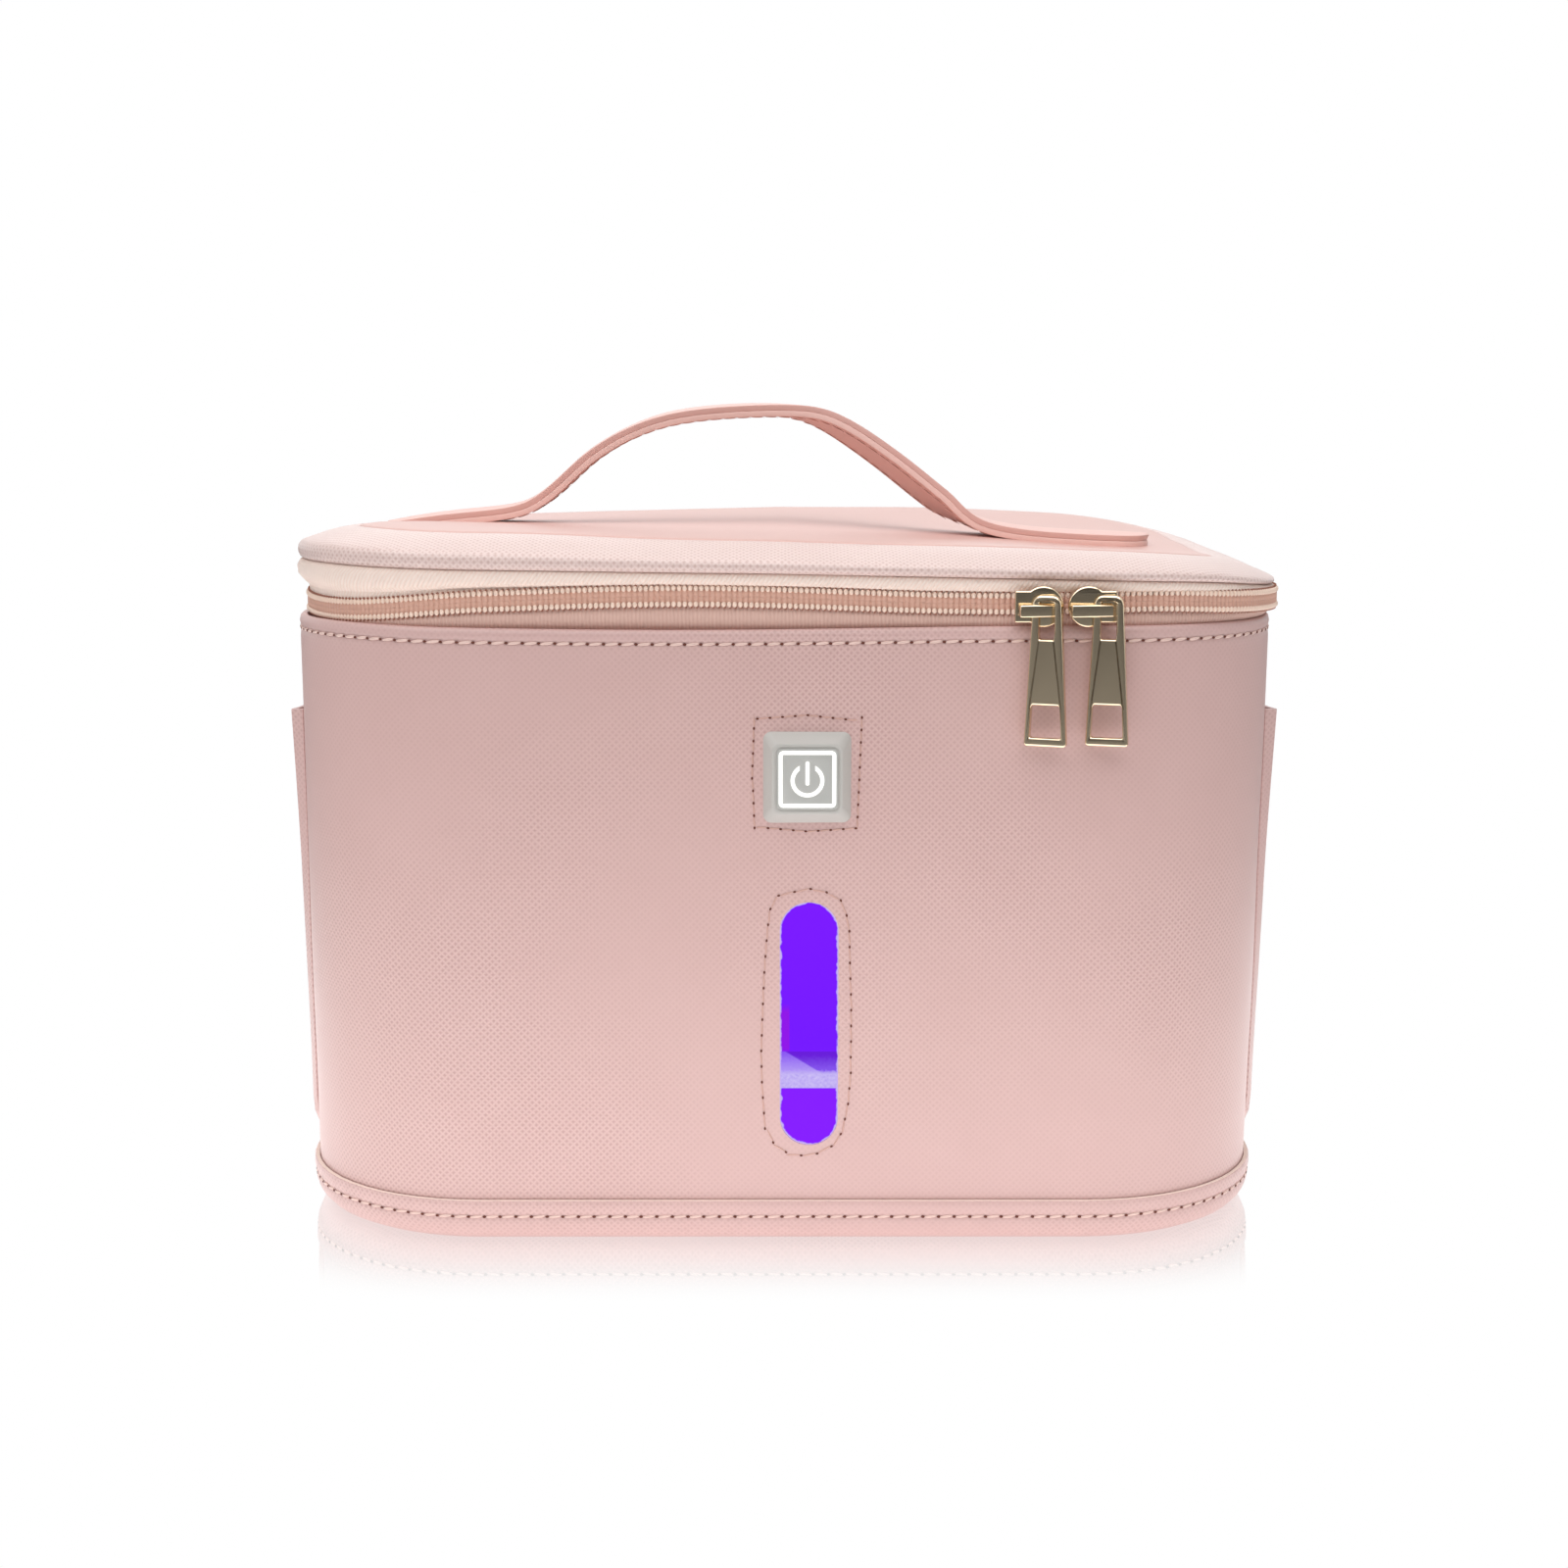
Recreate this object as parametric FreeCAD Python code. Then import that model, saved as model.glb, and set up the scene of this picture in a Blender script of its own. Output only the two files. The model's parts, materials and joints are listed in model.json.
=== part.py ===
import FreeCAD, Part
import os
from math import atan, cos, radians, sin, sqrt, tan

from FreeCAD import Vector

# Ultraviolet steriliser bag. Millimetres. The origin is the middle of the base on the floor,
# X runs to the right, Y to the back and Z up, so the zip pulls and the button face -Y.

# Sewn body, measured over the leather wall
BAG_WIDTH = 239.0
BAG_DEPTH = 169.0
CORNER_RADIUS = 46.0
WALL_TOP = 150.5
RIM_ROUND = 0.6

# Layers from the outside in
LEATHER = 1.4
FOAM = 6.0
FOIL = 0.6
BASE_BOARD = 2.5
BASE_FOAM = 4.0
TRAY_LIP = 11.3
TRAY_EDGE = 6.0

# Mouth and zip
HEM = 8.0
BINDING_DROP = 1.0
BINDING_ROUND = 1.5
TAPE = 0.8
ZIP_BAND = 13.0
COIL_HEIGHT = 2.2
COIL_DEPTH = 2.4
CHAIN_GAP = 1.3
HINGE_WIDTH = 172.0
HINGE_GAP = 0.4
STOP_LENGTH = 3.0
STOP_PROUD = 0.3

# Lid
LID_HEIGHT = 7.0
LID_EDGE = 4.0
LID_CORNER = 1.0
LID_FLANGE = 14.0
LID_TUCK = 2.2
LID_BOARD = 1.0
LID_SAG = 3.5

# Handle strap, with its stiffener, standing in an arch over the lid
HANDLE_SPAN = 114.0
HANDLE_TAB = 42.0
HANDLE_RISE = 30.5
HANDLE_JOIN = 84.0
HANDLE_GAP = 0.4
FLANK_DEGREES = 38.0
ROOT_RADIUS = 12.0
STRAP = 3.0
STRAP_WIDTH = 20.0
CORE = 1.0
CORE_WIDTH = 14.0

# Window in the front wall
WINDOW_X = 6.5
WINDOW_Z = 55.0
WINDOW_WIDTH = 14.0
WINDOW_HEIGHT = 60.0
LENS_FLANGE = 3.0
LENS_PLATE = 1.2
LENS_RECESS = 0.6

# Power button
BUTTON_X = 6.0
BUTTON_Z = 115.2
BEZEL_WIDTH = 21.0
BEZEL_HEIGHT = 22.0
BEZEL_TOP = 16.6
BEZEL_RISE = 3.0
BEZEL_WALL = 1.4
BEZEL_ROUND = 2.0
BUTTON_FLANGE = 3.0
BUTTON_FLANGE_THICK = 1.0
SKIRT = 19.4
SKIRT_WALL = 1.2
BUTTON_DEPTH = 6.2
BACK_PLATE = 0.8
CAP = 14.4
CAP_PROUD = 0.3
CAP_GAP = 0.35
CAP_SLACK = 0.1
CAP_LIP = 1.0
CAP_LIP_WIDTH = 16.2
CAP_ROUND = 1.2
CAP_TRAVEL = 0.8
STEM_RADIUS = 2.0
SWITCH = 6.2
SWITCH_HEIGHT = 2.2
PLUNGER_RADIUS = 1.5
PLUNGER_RISE = 1.0
PLUNGER_LENGTH = 2.0
CIRCUIT_BOARD = 1.0
BOARD_GAP = 0.2
BOSS_RADIUS = 1.0
BOSS_LENGTH = 1.5
GUIDE = 0.6
GUIDE_FRAME = 13.6
GUIDE_STROKE = 1.0
SYMBOL_RADIUS = 4.0
SYMBOL_GAP = 3.6
SYMBOL_DROP = 0.3
SYMBOL_BAR = 5.8
SYMBOL_BAR_RISE = 1.7

# Slider and pull
PARK_SETBACK = 7.4
NOSE_GAP = 0.6
SLIDER_LENGTH = 11.4
NOSE_RADIUS = 5.0
SHOULDER = 7.8
PLATE = 1.1
PLATE_ROUND = 0.4
CHAIN_CLEARANCE = 0.9
POST = 0.7
POST_LENGTH = 4.0
LIP = 0.9
LIP_CLEARANCE = 0.6
BAIL_FOOT = 1.3
BAIL_STANDOFF = 3.6
BAIL_OFFSET = 0.5
BAR_RADIUS = 0.9
BAR_CLEARANCE = 0.35
PULL = 2.0
PULL_PLAY = 0.4
KNUCKLE = 0.8
PULL_LENGTH = 33.6
PULL_TOP = 6.8
PULL_FOOT = 10.4
PULL_ROUND = 1.6
EYE_WIDTH = 4.0
EYE_LENGTH = 8.7
PULL_WINDOW_WIDTH = 7.2
PULL_WINDOW = 7.6
PULL_RAIL = 1.9
WINDOW_ROUND = 0.8

# Side pockets
POCKET_WIDTH = 74.0
POCKET_LOW = 14.0
POCKET_TOP = 125.0
POCKET_SEAM = 5.0
POCKET_BULGE_TOP = 5.0
POCKET_BULGE_LOW = 2.2

# Ultraviolet strips, one under the lid and one at the back of the floor
UV_LENGTH = 140.0
UV_BOARD_WIDTH = 12.0
UV_BOARD = 1.2
LED = 3.5
LED_HEIGHT = 1.3
LED_COUNT = 7
UV_COVER_WIDTH = 20.0
UV_COVER = 6.5
UV_COVER_ROUND = 2.5
UV_SHELL = 1.0
UV_END = 5.0
UV_FLANGE = 7.0
UV_FLANGE_THICK = 1.4
FLOOR_UV_SETBACK = 26.5
SCREW_RADIUS = 1.0
SCREW_LENGTH = 3.2
SCREW_HEAD_RADIUS = 2.0
SCREW_HEAD = 1.2
SCREW_FIT = 0.1

# Power supply in the back wall
INLET_Z = 34.0
INLET_WIDTH = 9.0
INLET_HEIGHT = 3.3
INLET_WALL = 0.35
INLET_DEPTH = 6.0
TONGUE_WIDTH = 6.7
TONGUE = 0.7
TONGUE_DEPTH = 4.6
MOUTH_WIDTH = 10.0
MOUTH_HEIGHT = 4.3
NECK_WIDTH = 13.0
NECK_HEIGHT = 7.2
NECK_DEPTH = 1.9
ESCUTCHEON_WIDTH = 19.0
ESCUTCHEON_HEIGHT = 12.0
ESCUTCHEON = 1.4
ESCUTCHEON_ROUND = 0.6
DRIVER_WIDTH = 40.0
DRIVER_HEIGHT = 24.0
COIL_WIDTH = 7.0
COIL_RISE = 3.4
CHIP_WIDTH = 5.0
CHIP_RISE = 1.5
CAN_RADIUS = 2.5
CAN_RISE = 4.0
PART_SPACING = 14.0
PART_RAISE = 6.0
FOAM_FIT = 1.0

# Flat leads and the lid switch
LEAD = 0.6
LEAD_WIDTH = 5.0
LEAD_X = -9.0
LEAD_FLOOR = 1.1
LEAD_FIT = 0.3
SENSOR_WIDTH = 8.0
SENSOR_HEIGHT = 5.0
SENSOR_DEPTH = 2.5
SENSOR_DROP = 1.5
MAGNET_RADIUS = 4.0
MAGNET = 2.0
MAGNET_INSET = 9.0

# Cuts run past the faces they open by this much
OVERRUN = 2.0

FRONT = -BAG_DEPTH / 2
BACK = BAG_DEPTH / 2
SIDE = BAG_WIDTH / 2
PARK_X = SIDE - CORNER_RADIUS - PARK_SETBACK
FLOOR_UV_Y = BACK - FLOOR_UV_SETBACK
LINER_OUTSIDE = LEATHER + FOAM
LINER_INSIDE = LINER_OUTSIDE + FOIL
BOARD_TOP = LEATHER + BASE_BOARD
FOAM_FLOOR = BOARD_TOP + BASE_FOAM
FLOOR = FOAM_FLOOR + FOIL
MOUTH = WALL_TOP - HEM
CHAIN_INSET = LEATHER + TAPE / 2
CHAIN_Z = WALL_TOP + ZIP_BAND / 2
LID_SEAM = WALL_TOP + ZIP_BAND
LID_TOP = LID_SEAM + LID_HEIGHT
LID_BOARD_LOW = LID_TOP - LEATHER - LID_BOARD
LID_CEILING = LID_SEAM + FOIL
LID_SLOPE = LID_SAG / SIDE

UP = Vector(0, 0, 1)
RIGHT = Vector(1, 0, 0)
FORWARD = Vector(0, 1, 0)


def about(middle, size):
    """The low and high ends of a span centred on a point."""
    return (middle - size / 2, middle + size / 2)


def slab(xs, ys, zs):
    """A box from its three spans."""
    corner = Vector(xs[0], ys[0], zs[0])
    return Part.makeBox(xs[1] - xs[0], ys[1] - ys[0], zs[1] - zs[0], corner)


def rounded_slab(xs, ys, zs, along, radius):
    """A box with the four edges along one direction rounded."""
    box = slab(xs, ys, zs)
    edges = [edge for edge in box.Edges if edge.tangentAt(edge.FirstParameter).cross(along).Length < 0.5]
    return box.makeFillet(radius, edges)


def level_edges(solid, height, reach):
    """The edges of a solid whose middle is within reach of one height."""
    return [edge for edge in solid.Edges if abs(edge.BoundBox.Center.z - height) < reach
            and edge.BoundBox.ZLength < reach]


def plan(inset, low, high):
    """The bag's rounded rectangle, drawn in by an inset, as an upright prism."""
    xs = about(0, BAG_WIDTH - 2 * inset)
    ys = about(0, BAG_DEPTH - 2 * inset)
    return rounded_slab(xs, ys, (low, high), UP, CORNER_RADIUS - inset)


def ring(outer, inner, low, high):
    """A closed band between two insets of the bag's plan."""
    return plan(outer, low, high).cut(plan(inner, low - OVERRUN, high + OVERRUN))


def stadium(x, z, width, height, ys):
    """A slot-shaped prism along Y with half-round ends."""
    radius = min(width, height) / 2
    run = width / 2 - radius
    rise = height / 2 - radius
    ends = [rod(Vector(x + side * run, ys[0], z + side * rise), FORWARD, radius, ys[1] - ys[0]) for side in (-1, 1)]
    middle = slab(about(x, 2 * run or width), ys, about(z, 2 * rise or height))
    return joined([middle] + ends)


def rod(base, direction, radius, length):
    return Part.makeCylinder(radius, length, base, direction)


def mirrored(shape):
    """The same shape on the other side of the bag."""
    return shape.mirror(Vector(), RIGHT)


def joined(solids):
    """Several solids fused to one, without the seams between coplanar faces."""
    return solids[0].fuse(solids[1:]).removeSplitter()


def hinge_span():
    """The stretch of the back edge that the hinge strip takes from the zip."""
    return slab(about(0, HINGE_WIDTH), (0, BAG_DEPTH), (0, LID_TOP + BAG_DEPTH))


def window_opening(ys, grow):
    return stadium(WINDOW_X, WINDOW_Z, WINDOW_WIDTH + 2 * grow, WINDOW_HEIGHT + 2 * grow, ys)


def button_block(width, height, ys):
    return slab(about(BUTTON_X, width), ys, about(BUTTON_Z, height))


# Depths of the button's layers, from the front wall inwards
FLANGE_FRONT = FRONT + LEATHER
FLANGE_BACK = FLANGE_FRONT + BUTTON_FLANGE_THICK
BEZEL_FRONT = FRONT - BEZEL_RISE
BEZEL_INSIDE = BEZEL_FRONT + BEZEL_WALL
SKIRT_BACK = FRONT + BUTTON_DEPTH
BUTTON_BACK = SKIRT_BACK + BACK_PLATE
CAVITY = SKIRT - 2 * SKIRT_WALL
CAP_FRONT = BEZEL_FRONT - CAP_PROUD
LIP_FRONT = BEZEL_INSIDE + CAP_SLACK
LIP_BACK = LIP_FRONT + CAP_LIP
BOARD_BACK = SKIRT_BACK - BOSS_LENGTH
BOARD_FRONT = BOARD_BACK - CIRCUIT_BOARD
SWITCH_FRONT = BOARD_FRONT - SWITCH_HEIGHT
PLUNGER_FRONT = SWITCH_FRONT - PLUNGER_RISE

# Depths of the power supply's layers, from the liner outwards
DRIVER_FRONT = BACK - LINER_OUTSIDE
DRIVER_BACK = DRIVER_FRONT + CIRCUIT_BOARD

# Heights and depths of the flat leads
LEAD_LOW = BOARD_TOP + LEAD_FLOOR
FRONT_LEAD_Y = BOARD_BACK - CIRCUIT_BOARD / 2
BACK_LEAD_Y = DRIVER_FRONT + CIRCUIT_BOARD / 2
LID_LEAD_Z = LID_CEILING + LEAD_FLOOR


def front_lead(grow):
    """Lead from the lid switch past the button, under the floor and up to the driver board."""
    xs = about(LEAD_X, LEAD_WIDTH + 2 * grow)
    board_edge = BUTTON_X - CAVITY / 2 + BOARD_GAP
    front = about(FRONT_LEAD_Y, LEAD + 2 * grow)
    back = about(BACK_LEAD_Y, LEAD + 2 * grow)
    low = (LEAD_LOW - grow, LEAD_LOW + LEAD + grow)
    drop = slab(xs, front, (low[0], MOUTH - SENSOR_DROP - SENSOR_HEIGHT))
    arm = slab((xs[0], board_edge), front, about(BUTTON_Z, LEAD_WIDTH + 2 * grow))
    run = slab(xs, (front[0], back[1]), low)
    rise = slab(xs, back, (low[0], INLET_Z - DRIVER_HEIGHT / 2))
    tap = slab(xs, about(FLOOR_UV_Y, LEAD + 2 * grow), (low[0], FLOOR))
    return joined([drop, arm, run, rise, tap])


def back_lead(grow):
    """Lead from the driver board up the back wall to the mouth."""
    zs = (INLET_Z + DRIVER_HEIGHT / 2, MOUTH)
    return slab(about(0, LEAD_WIDTH + 2 * grow), about(BACK_LEAD_Y, LEAD + 2 * grow), zs)


def hinge_lead(grow):
    """Lead across the hinge, free to bend as the lid opens."""
    zs = (MOUTH, LID_CEILING)
    return slab(about(0, LEAD_WIDTH + 2 * grow), about(BACK_LEAD_Y, LEAD + 2 * grow), zs)


def lid_lead(grow):
    """Lead through the lid's padding to the strip below it."""
    xs = about(0, LEAD_WIDTH + 2 * grow)
    end = BACK_LEAD_Y + LEAD / 2 + grow
    zs = (LID_LEAD_Z - grow, LID_LEAD_Z + LEAD + grow)
    run = slab(xs, (-LEAD / 2 - grow, end), zs)
    rise = slab(xs, (end - LEAD - 2 * grow, end), (LID_CEILING, zs[1]))
    tap = slab(xs, about(0, LEAD + 2 * grow), (LID_SEAM, zs[1]))
    return joined([run, rise, tap])


def uv_screw_xs():
    reach = UV_LENGTH / 2 + UV_END + UV_FLANGE / 2
    return (-reach, reach)


def uv_screw_holes(y, face, up):
    """Holes that let a strip's screws through its flange and into the padding."""
    radius = SCREW_RADIUS + SCREW_FIT
    start = face + up * UV_FLANGE_THICK
    length = SCREW_LENGTH + SCREW_FIT
    return [rod(Vector(x, y, start), UP * -up, radius, length) for x in uv_screw_xs()]


def upright(face, up, low, high):
    """A span of heights measured from a face, upwards or downwards."""
    ends = (face + up * low, face + up * high)
    return (min(ends), max(ends))


def uv_board(y, face, up):
    return slab(about(0, UV_LENGTH), about(y, UV_BOARD_WIDTH), upright(face, up, 0, UV_BOARD))


def uv_leds(y, face, up):
    """A row of square emitters along the strip's board."""
    zs = upright(face, up, UV_BOARD, UV_BOARD + LED_HEIGHT)
    pitch = UV_LENGTH / LED_COUNT
    middle = (LED_COUNT - 1) / 2
    xs = [(index - middle) * pitch for index in range(LED_COUNT)]
    return Part.makeCompound([slab(about(x, LED), about(y, LED), zs) for x in xs])


def uv_cover(y, face, up):
    """Clear cover with a screwed flange at each end."""
    body_xs = about(0, UV_LENGTH + 2 * UV_END)
    body_zs = upright(face, up, 0, UV_COVER)
    ys = about(y, UV_COVER_WIDTH)
    body = slab(body_xs, ys, body_zs)
    body = body.makeFillet(UV_COVER_ROUND, level_edges(body, face + up * UV_COVER, UV_SHELL))
    flange_xs = about(0, UV_LENGTH + 2 * UV_END + 2 * UV_FLANGE)
    flange = rounded_slab(flange_xs, ys, upright(face, up, 0, UV_FLANGE_THICK), UP, UV_COVER_ROUND)
    inside_xs = about(0, UV_LENGTH + 2 * UV_END - 2 * UV_SHELL)
    inside_ys = about(y, UV_COVER_WIDTH - 2 * UV_SHELL)
    depth = UV_COVER - UV_SHELL
    inside = slab(inside_xs, inside_ys, upright(face, up, -OVERRUN, depth))
    inside = inside.makeFillet(UV_COVER_ROUND - UV_SHELL, level_edges(inside, face + up * depth, UV_SHELL))
    return joined([body, flange]).cut([inside] + uv_screw_holes(y, face, up))


def uv_screws(y, face, up):
    screws = []
    for x in uv_screw_xs():
        seat = Vector(x, y, face + up * UV_FLANGE_THICK)
        head = rod(seat, UP * up, SCREW_HEAD_RADIUS, SCREW_HEAD)
        shank = rod(seat, UP * -up, SCREW_RADIUS, SCREW_LENGTH)
        screws.append(joined([head, shank]))
    return Part.makeCompound(screws)


def outer_wall():
    """Leather band round the body, open at the window, the button and the power inlet."""
    wall = ring(0, LEATHER, TRAY_EDGE, WALL_TOP)
    wall = wall.makeFillet(RIM_ROUND, level_edges(wall, WALL_TOP, RIM_ROUND))
    front = (FRONT - OVERRUN, FRONT + LEATHER + OVERRUN)
    back = (BACK - LEATHER - OVERRUN, BACK + OVERRUN)
    button = rounded_slab(about(BUTTON_X, BEZEL_WIDTH), front, about(BUTTON_Z, BEZEL_HEIGHT), FORWARD, BEZEL_ROUND)
    inlet = stadium(0, INLET_Z, NECK_WIDTH, NECK_HEIGHT, back)
    return wall.cut([window_opening(front, 0), button, inlet])


def base_tray():
    """Leather base whose edge turns up over the foot of the wall."""
    outside = plan(-LEATHER, 0, TRAY_LIP)
    outside = outside.makeFillet(TRAY_EDGE, level_edges(outside, 0, LEATHER))
    inside = plan(0, LEATHER, TRAY_LIP + OVERRUN)
    inside = inside.makeFillet(TRAY_EDGE - LEATHER, level_edges(inside, LEATHER, LEATHER))
    return outside.cut(inside)


def base_board():
    return plan(TRAY_EDGE - LEATHER, LEATHER, BOARD_TOP)


def base_foam():
    foam = plan(LEATHER, BOARD_TOP, FOAM_FLOOR)
    return foam.cut([front_lead(LEAD_FIT)] + uv_screw_holes(FLOOR_UV_Y, FLOOR, 1))


def wall_foam():
    """Padding between wall and liner, hollowed for the window, button, power supply and leads."""
    foam = ring(LEATHER, LINER_OUTSIDE, FOAM_FLOOR, MOUTH)
    through = (FRONT, FRONT + LINER_OUTSIDE + OVERRUN)
    behind_flange = (FLANGE_FRONT - OVERRUN, FLANGE_FRONT + LENS_PLATE)
    width = BEZEL_WIDTH + 2 * BUTTON_FLANGE
    height = BEZEL_HEIGHT + 2 * BUTTON_FLANGE
    hollows = [
        window_opening(through, 0),
        window_opening(behind_flange, LENS_FLANGE),
        button_block(width, height, (FLANGE_FRONT - OVERRUN, FLANGE_BACK)),
        button_block(SKIRT, SKIRT, (FLANGE_FRONT - OVERRUN, BUTTON_BACK)),
        slab(about(0, DRIVER_WIDTH + 2 * FOAM_FIT), (DRIVER_FRONT - OVERRUN, BACK),
             about(INLET_Z, DRIVER_HEIGHT + 2 * FOAM_FIT)),
        front_lead(LEAD_FIT),
        back_lead(LEAD_FIT),
        lid_switch(),
    ]
    return foam.cut(hollows)


def foil_liner():
    """Reflective tub that lines the floor and the wall."""
    tub = plan(LINER_OUTSIDE, FOAM_FLOOR, MOUTH)
    inside = plan(LINER_INSIDE, FLOOR, MOUTH + OVERRUN)
    through = (FRONT, FRONT + LINER_INSIDE + OVERRUN)
    tap = front_lead(LEAD_FIT)
    return tub.cut([inside, window_opening(through, 0), tap] + uv_screw_holes(FLOOR_UV_Y, FLOOR, 1))


def mouth_binding():
    """Bound edge over the padding and the liner, behind the zip tape."""
    top = WALL_TOP - BINDING_DROP
    band = ring(LEATHER + TAPE, LINER_INSIDE, MOUTH, top)
    band = band.makeFillet(BINDING_ROUND, level_edges(band, top, BINDING_ROUND))
    return band.cut(hinge_lead(LEAD_FIT))


def zip_tape(low, high):
    """Woven tape along the front, the sides and the back corners."""
    gap = slab(about(0, HINGE_WIDTH + 2 * HINGE_GAP), (0, BAG_DEPTH), (low - OVERRUN, high + OVERRUN))
    return ring(LEATHER, LEATHER + TAPE, low, high).cut(gap)


def zip_coil(low, trim):
    """One row of the zip, run round the same path as its tape."""
    half = COIL_DEPTH / 2
    high = low + COIL_HEIGHT
    gap = slab(about(0, HINGE_WIDTH + 2 * HINGE_GAP + 2 * trim), (0, BAG_DEPTH), (low - OVERRUN, high + OVERRUN))
    return ring(CHAIN_INSET - half, CHAIN_INSET + half, low, high).cut(gap)


LOWER_COIL_Z = CHAIN_Z - CHAIN_GAP / 2 - COIL_HEIGHT
UPPER_COIL_Z = CHAIN_Z + CHAIN_GAP / 2


def zip_stops():
    """Crimped stops that close both ends of the lower row."""
    half = COIL_DEPTH / 2 + STOP_PROUD
    band = ring(CHAIN_INSET - half, CHAIN_INSET + half, LOWER_COIL_Z, LOWER_COIL_Z + COIL_HEIGHT)
    inner = HINGE_WIDTH / 2 + HINGE_GAP
    right = band.common(slab((inner, inner + STOP_LENGTH), (0, BAG_DEPTH), (0, LID_TOP)))
    return Part.makeCompound([right, mirrored(right)])


def hinge_strip():
    """Soft leather strip that joins the lid to the back of the body."""
    return ring(LEATHER, LEATHER + TAPE, MOUTH, LID_SEAM + LID_TUCK).common(hinge_span())


def window_lens():
    """Clear block that fills the padding behind the window and laps the leather from inside."""
    plate = window_opening((FLANGE_FRONT, FLANGE_FRONT + LENS_PLATE), LENS_FLANGE)
    block = window_opening((FRONT + LENS_RECESS, FRONT + LINER_INSIDE), 0)
    return joined([plate, block])


def pocket_line(height, bulge, outside):
    """One level of a side pocket: its skin's outline, or the outline of the space behind it."""
    half = POCKET_WIDTH / 2
    seam = half - POCKET_SEAM
    skin = -SIDE - LEATHER
    if not outside:
        near = Vector(-SIDE, -seam, height)
        far = Vector(-SIDE, seam, height)
        crest = Vector(-SIDE - bulge + LEATHER, 0, height)
        return Part.Wire([Part.Arc(near, crest, far).toShape(), Part.makeLine(far, near)])
    corners = [Vector(skin, seam, height), Vector(skin, half, height), Vector(-SIDE, half, height),
               Vector(-SIDE, -half, height), Vector(skin, -half, height), Vector(skin, -seam, height)]
    crest = Vector(-SIDE - bulge, 0, height)
    edges = [Part.Arc(corners[-1], crest, corners[0]).toShape()]
    edges += [Part.makeLine(start, end) for start, end in zip(corners, corners[1:])]
    return Part.Wire(edges)


def left_pocket():
    """Leather slip pocket, sewn flat along three sides and gaping a little at the top."""
    slope = (POCKET_BULGE_TOP - POCKET_BULGE_LOW) / (POCKET_TOP - POCKET_LOW)
    floor = POCKET_LOW + POCKET_SEAM
    floor_bulge = POCKET_BULGE_LOW + slope * POCKET_SEAM
    over_bulge = POCKET_BULGE_TOP + slope * OVERRUN
    skin = Part.makeLoft([pocket_line(POCKET_LOW, POCKET_BULGE_LOW, True),
                          pocket_line(POCKET_TOP, POCKET_BULGE_TOP, True)], True, True)
    space = Part.makeLoft([pocket_line(floor, floor_bulge, False),
                           pocket_line(POCKET_TOP + OVERRUN, over_bulge, False)], True, True)
    return skin.cut(space)


def bevel_block():
    """The button's raised frame: straight through the leather, then drawn in to its top."""
    def outline(width, height, radius, y):
        flat = rounded_slab(about(BUTTON_X, width), (y, y + OVERRUN), about(BUTTON_Z, height), FORWARD, radius)
        faces = [face for face in flat.Faces if face.BoundBox.YLength < OVERRUN / 2]
        return min(faces, key=lambda face: face.BoundBox.YMin).OuterWire
    foot = outline(BEZEL_WIDTH, BEZEL_HEIGHT, BEZEL_ROUND, FRONT)
    top = outline(BEZEL_TOP, BEZEL_TOP, BEZEL_ROUND, BEZEL_FRONT)
    raised = Part.makeLoft([top, foot], True, True)
    through = rounded_slab(about(BUTTON_X, BEZEL_WIDTH), (FRONT, FLANGE_FRONT),
                           about(BUTTON_Z, BEZEL_HEIGHT), FORWARD, BEZEL_ROUND)
    return raised.fuse(through)


def button_housing():
    """Moulded button case: raised frame outside, sewing flange and skirt behind the leather."""
    width = BEZEL_WIDTH + 2 * BUTTON_FLANGE
    height = BEZEL_HEIGHT + 2 * BUTTON_FLANGE
    flange = button_block(width, height, (FLANGE_FRONT, FLANGE_BACK))
    skirt = button_block(SKIRT, SKIRT, (FLANGE_BACK, SKIRT_BACK))
    opening = CAP + 2 * CAP_GAP
    mouth = rounded_slab(about(BUTTON_X, opening), (BEZEL_FRONT - OVERRUN, SKIRT_BACK),
                         about(BUTTON_Z, opening), FORWARD, CAP_ROUND + CAP_GAP)
    cavity = button_block(CAVITY, CAVITY, (BEZEL_INSIDE, SKIRT_BACK + OVERRUN))
    return joined([bevel_block(), flange, skirt]).cut([mouth, cavity, front_lead(LEAD_FIT)])


def button_back():
    """Plate that closes the button case and carries the switch board on four bosses."""
    solids = [button_block(SKIRT, SKIRT, (SKIRT_BACK, BUTTON_BACK))]
    reach = CAVITY / 2 - 2 * BOSS_RADIUS
    for x in (-reach, reach):
        for z in (-reach, reach):
            foot = Vector(BUTTON_X + x, BOARD_BACK, BUTTON_Z + z)
            solids.append(rod(foot, FORWARD, BOSS_RADIUS, BOSS_LENGTH))
    return joined(solids)


def switch_board():
    size = CAVITY - 2 * BOARD_GAP
    return button_block(size, size, (BOARD_FRONT, BOARD_BACK))


def tact_switch():
    """Switch body with a blind bore for its plunger."""
    body = button_block(SWITCH, SWITCH, (SWITCH_FRONT, BOARD_FRONT))
    depth = PLUNGER_LENGTH - PLUNGER_RISE + CAP_TRAVEL + CAP_SLACK
    bore = rod(Vector(BUTTON_X, SWITCH_FRONT, BUTTON_Z), FORWARD, PLUNGER_RADIUS + CAP_GAP, depth)
    return body.cut(bore)


def switch_plunger():
    return rod(Vector(BUTTON_X, PLUNGER_FRONT, BUTTON_Z), FORWARD, PLUNGER_RADIUS, PLUNGER_LENGTH)


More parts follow.
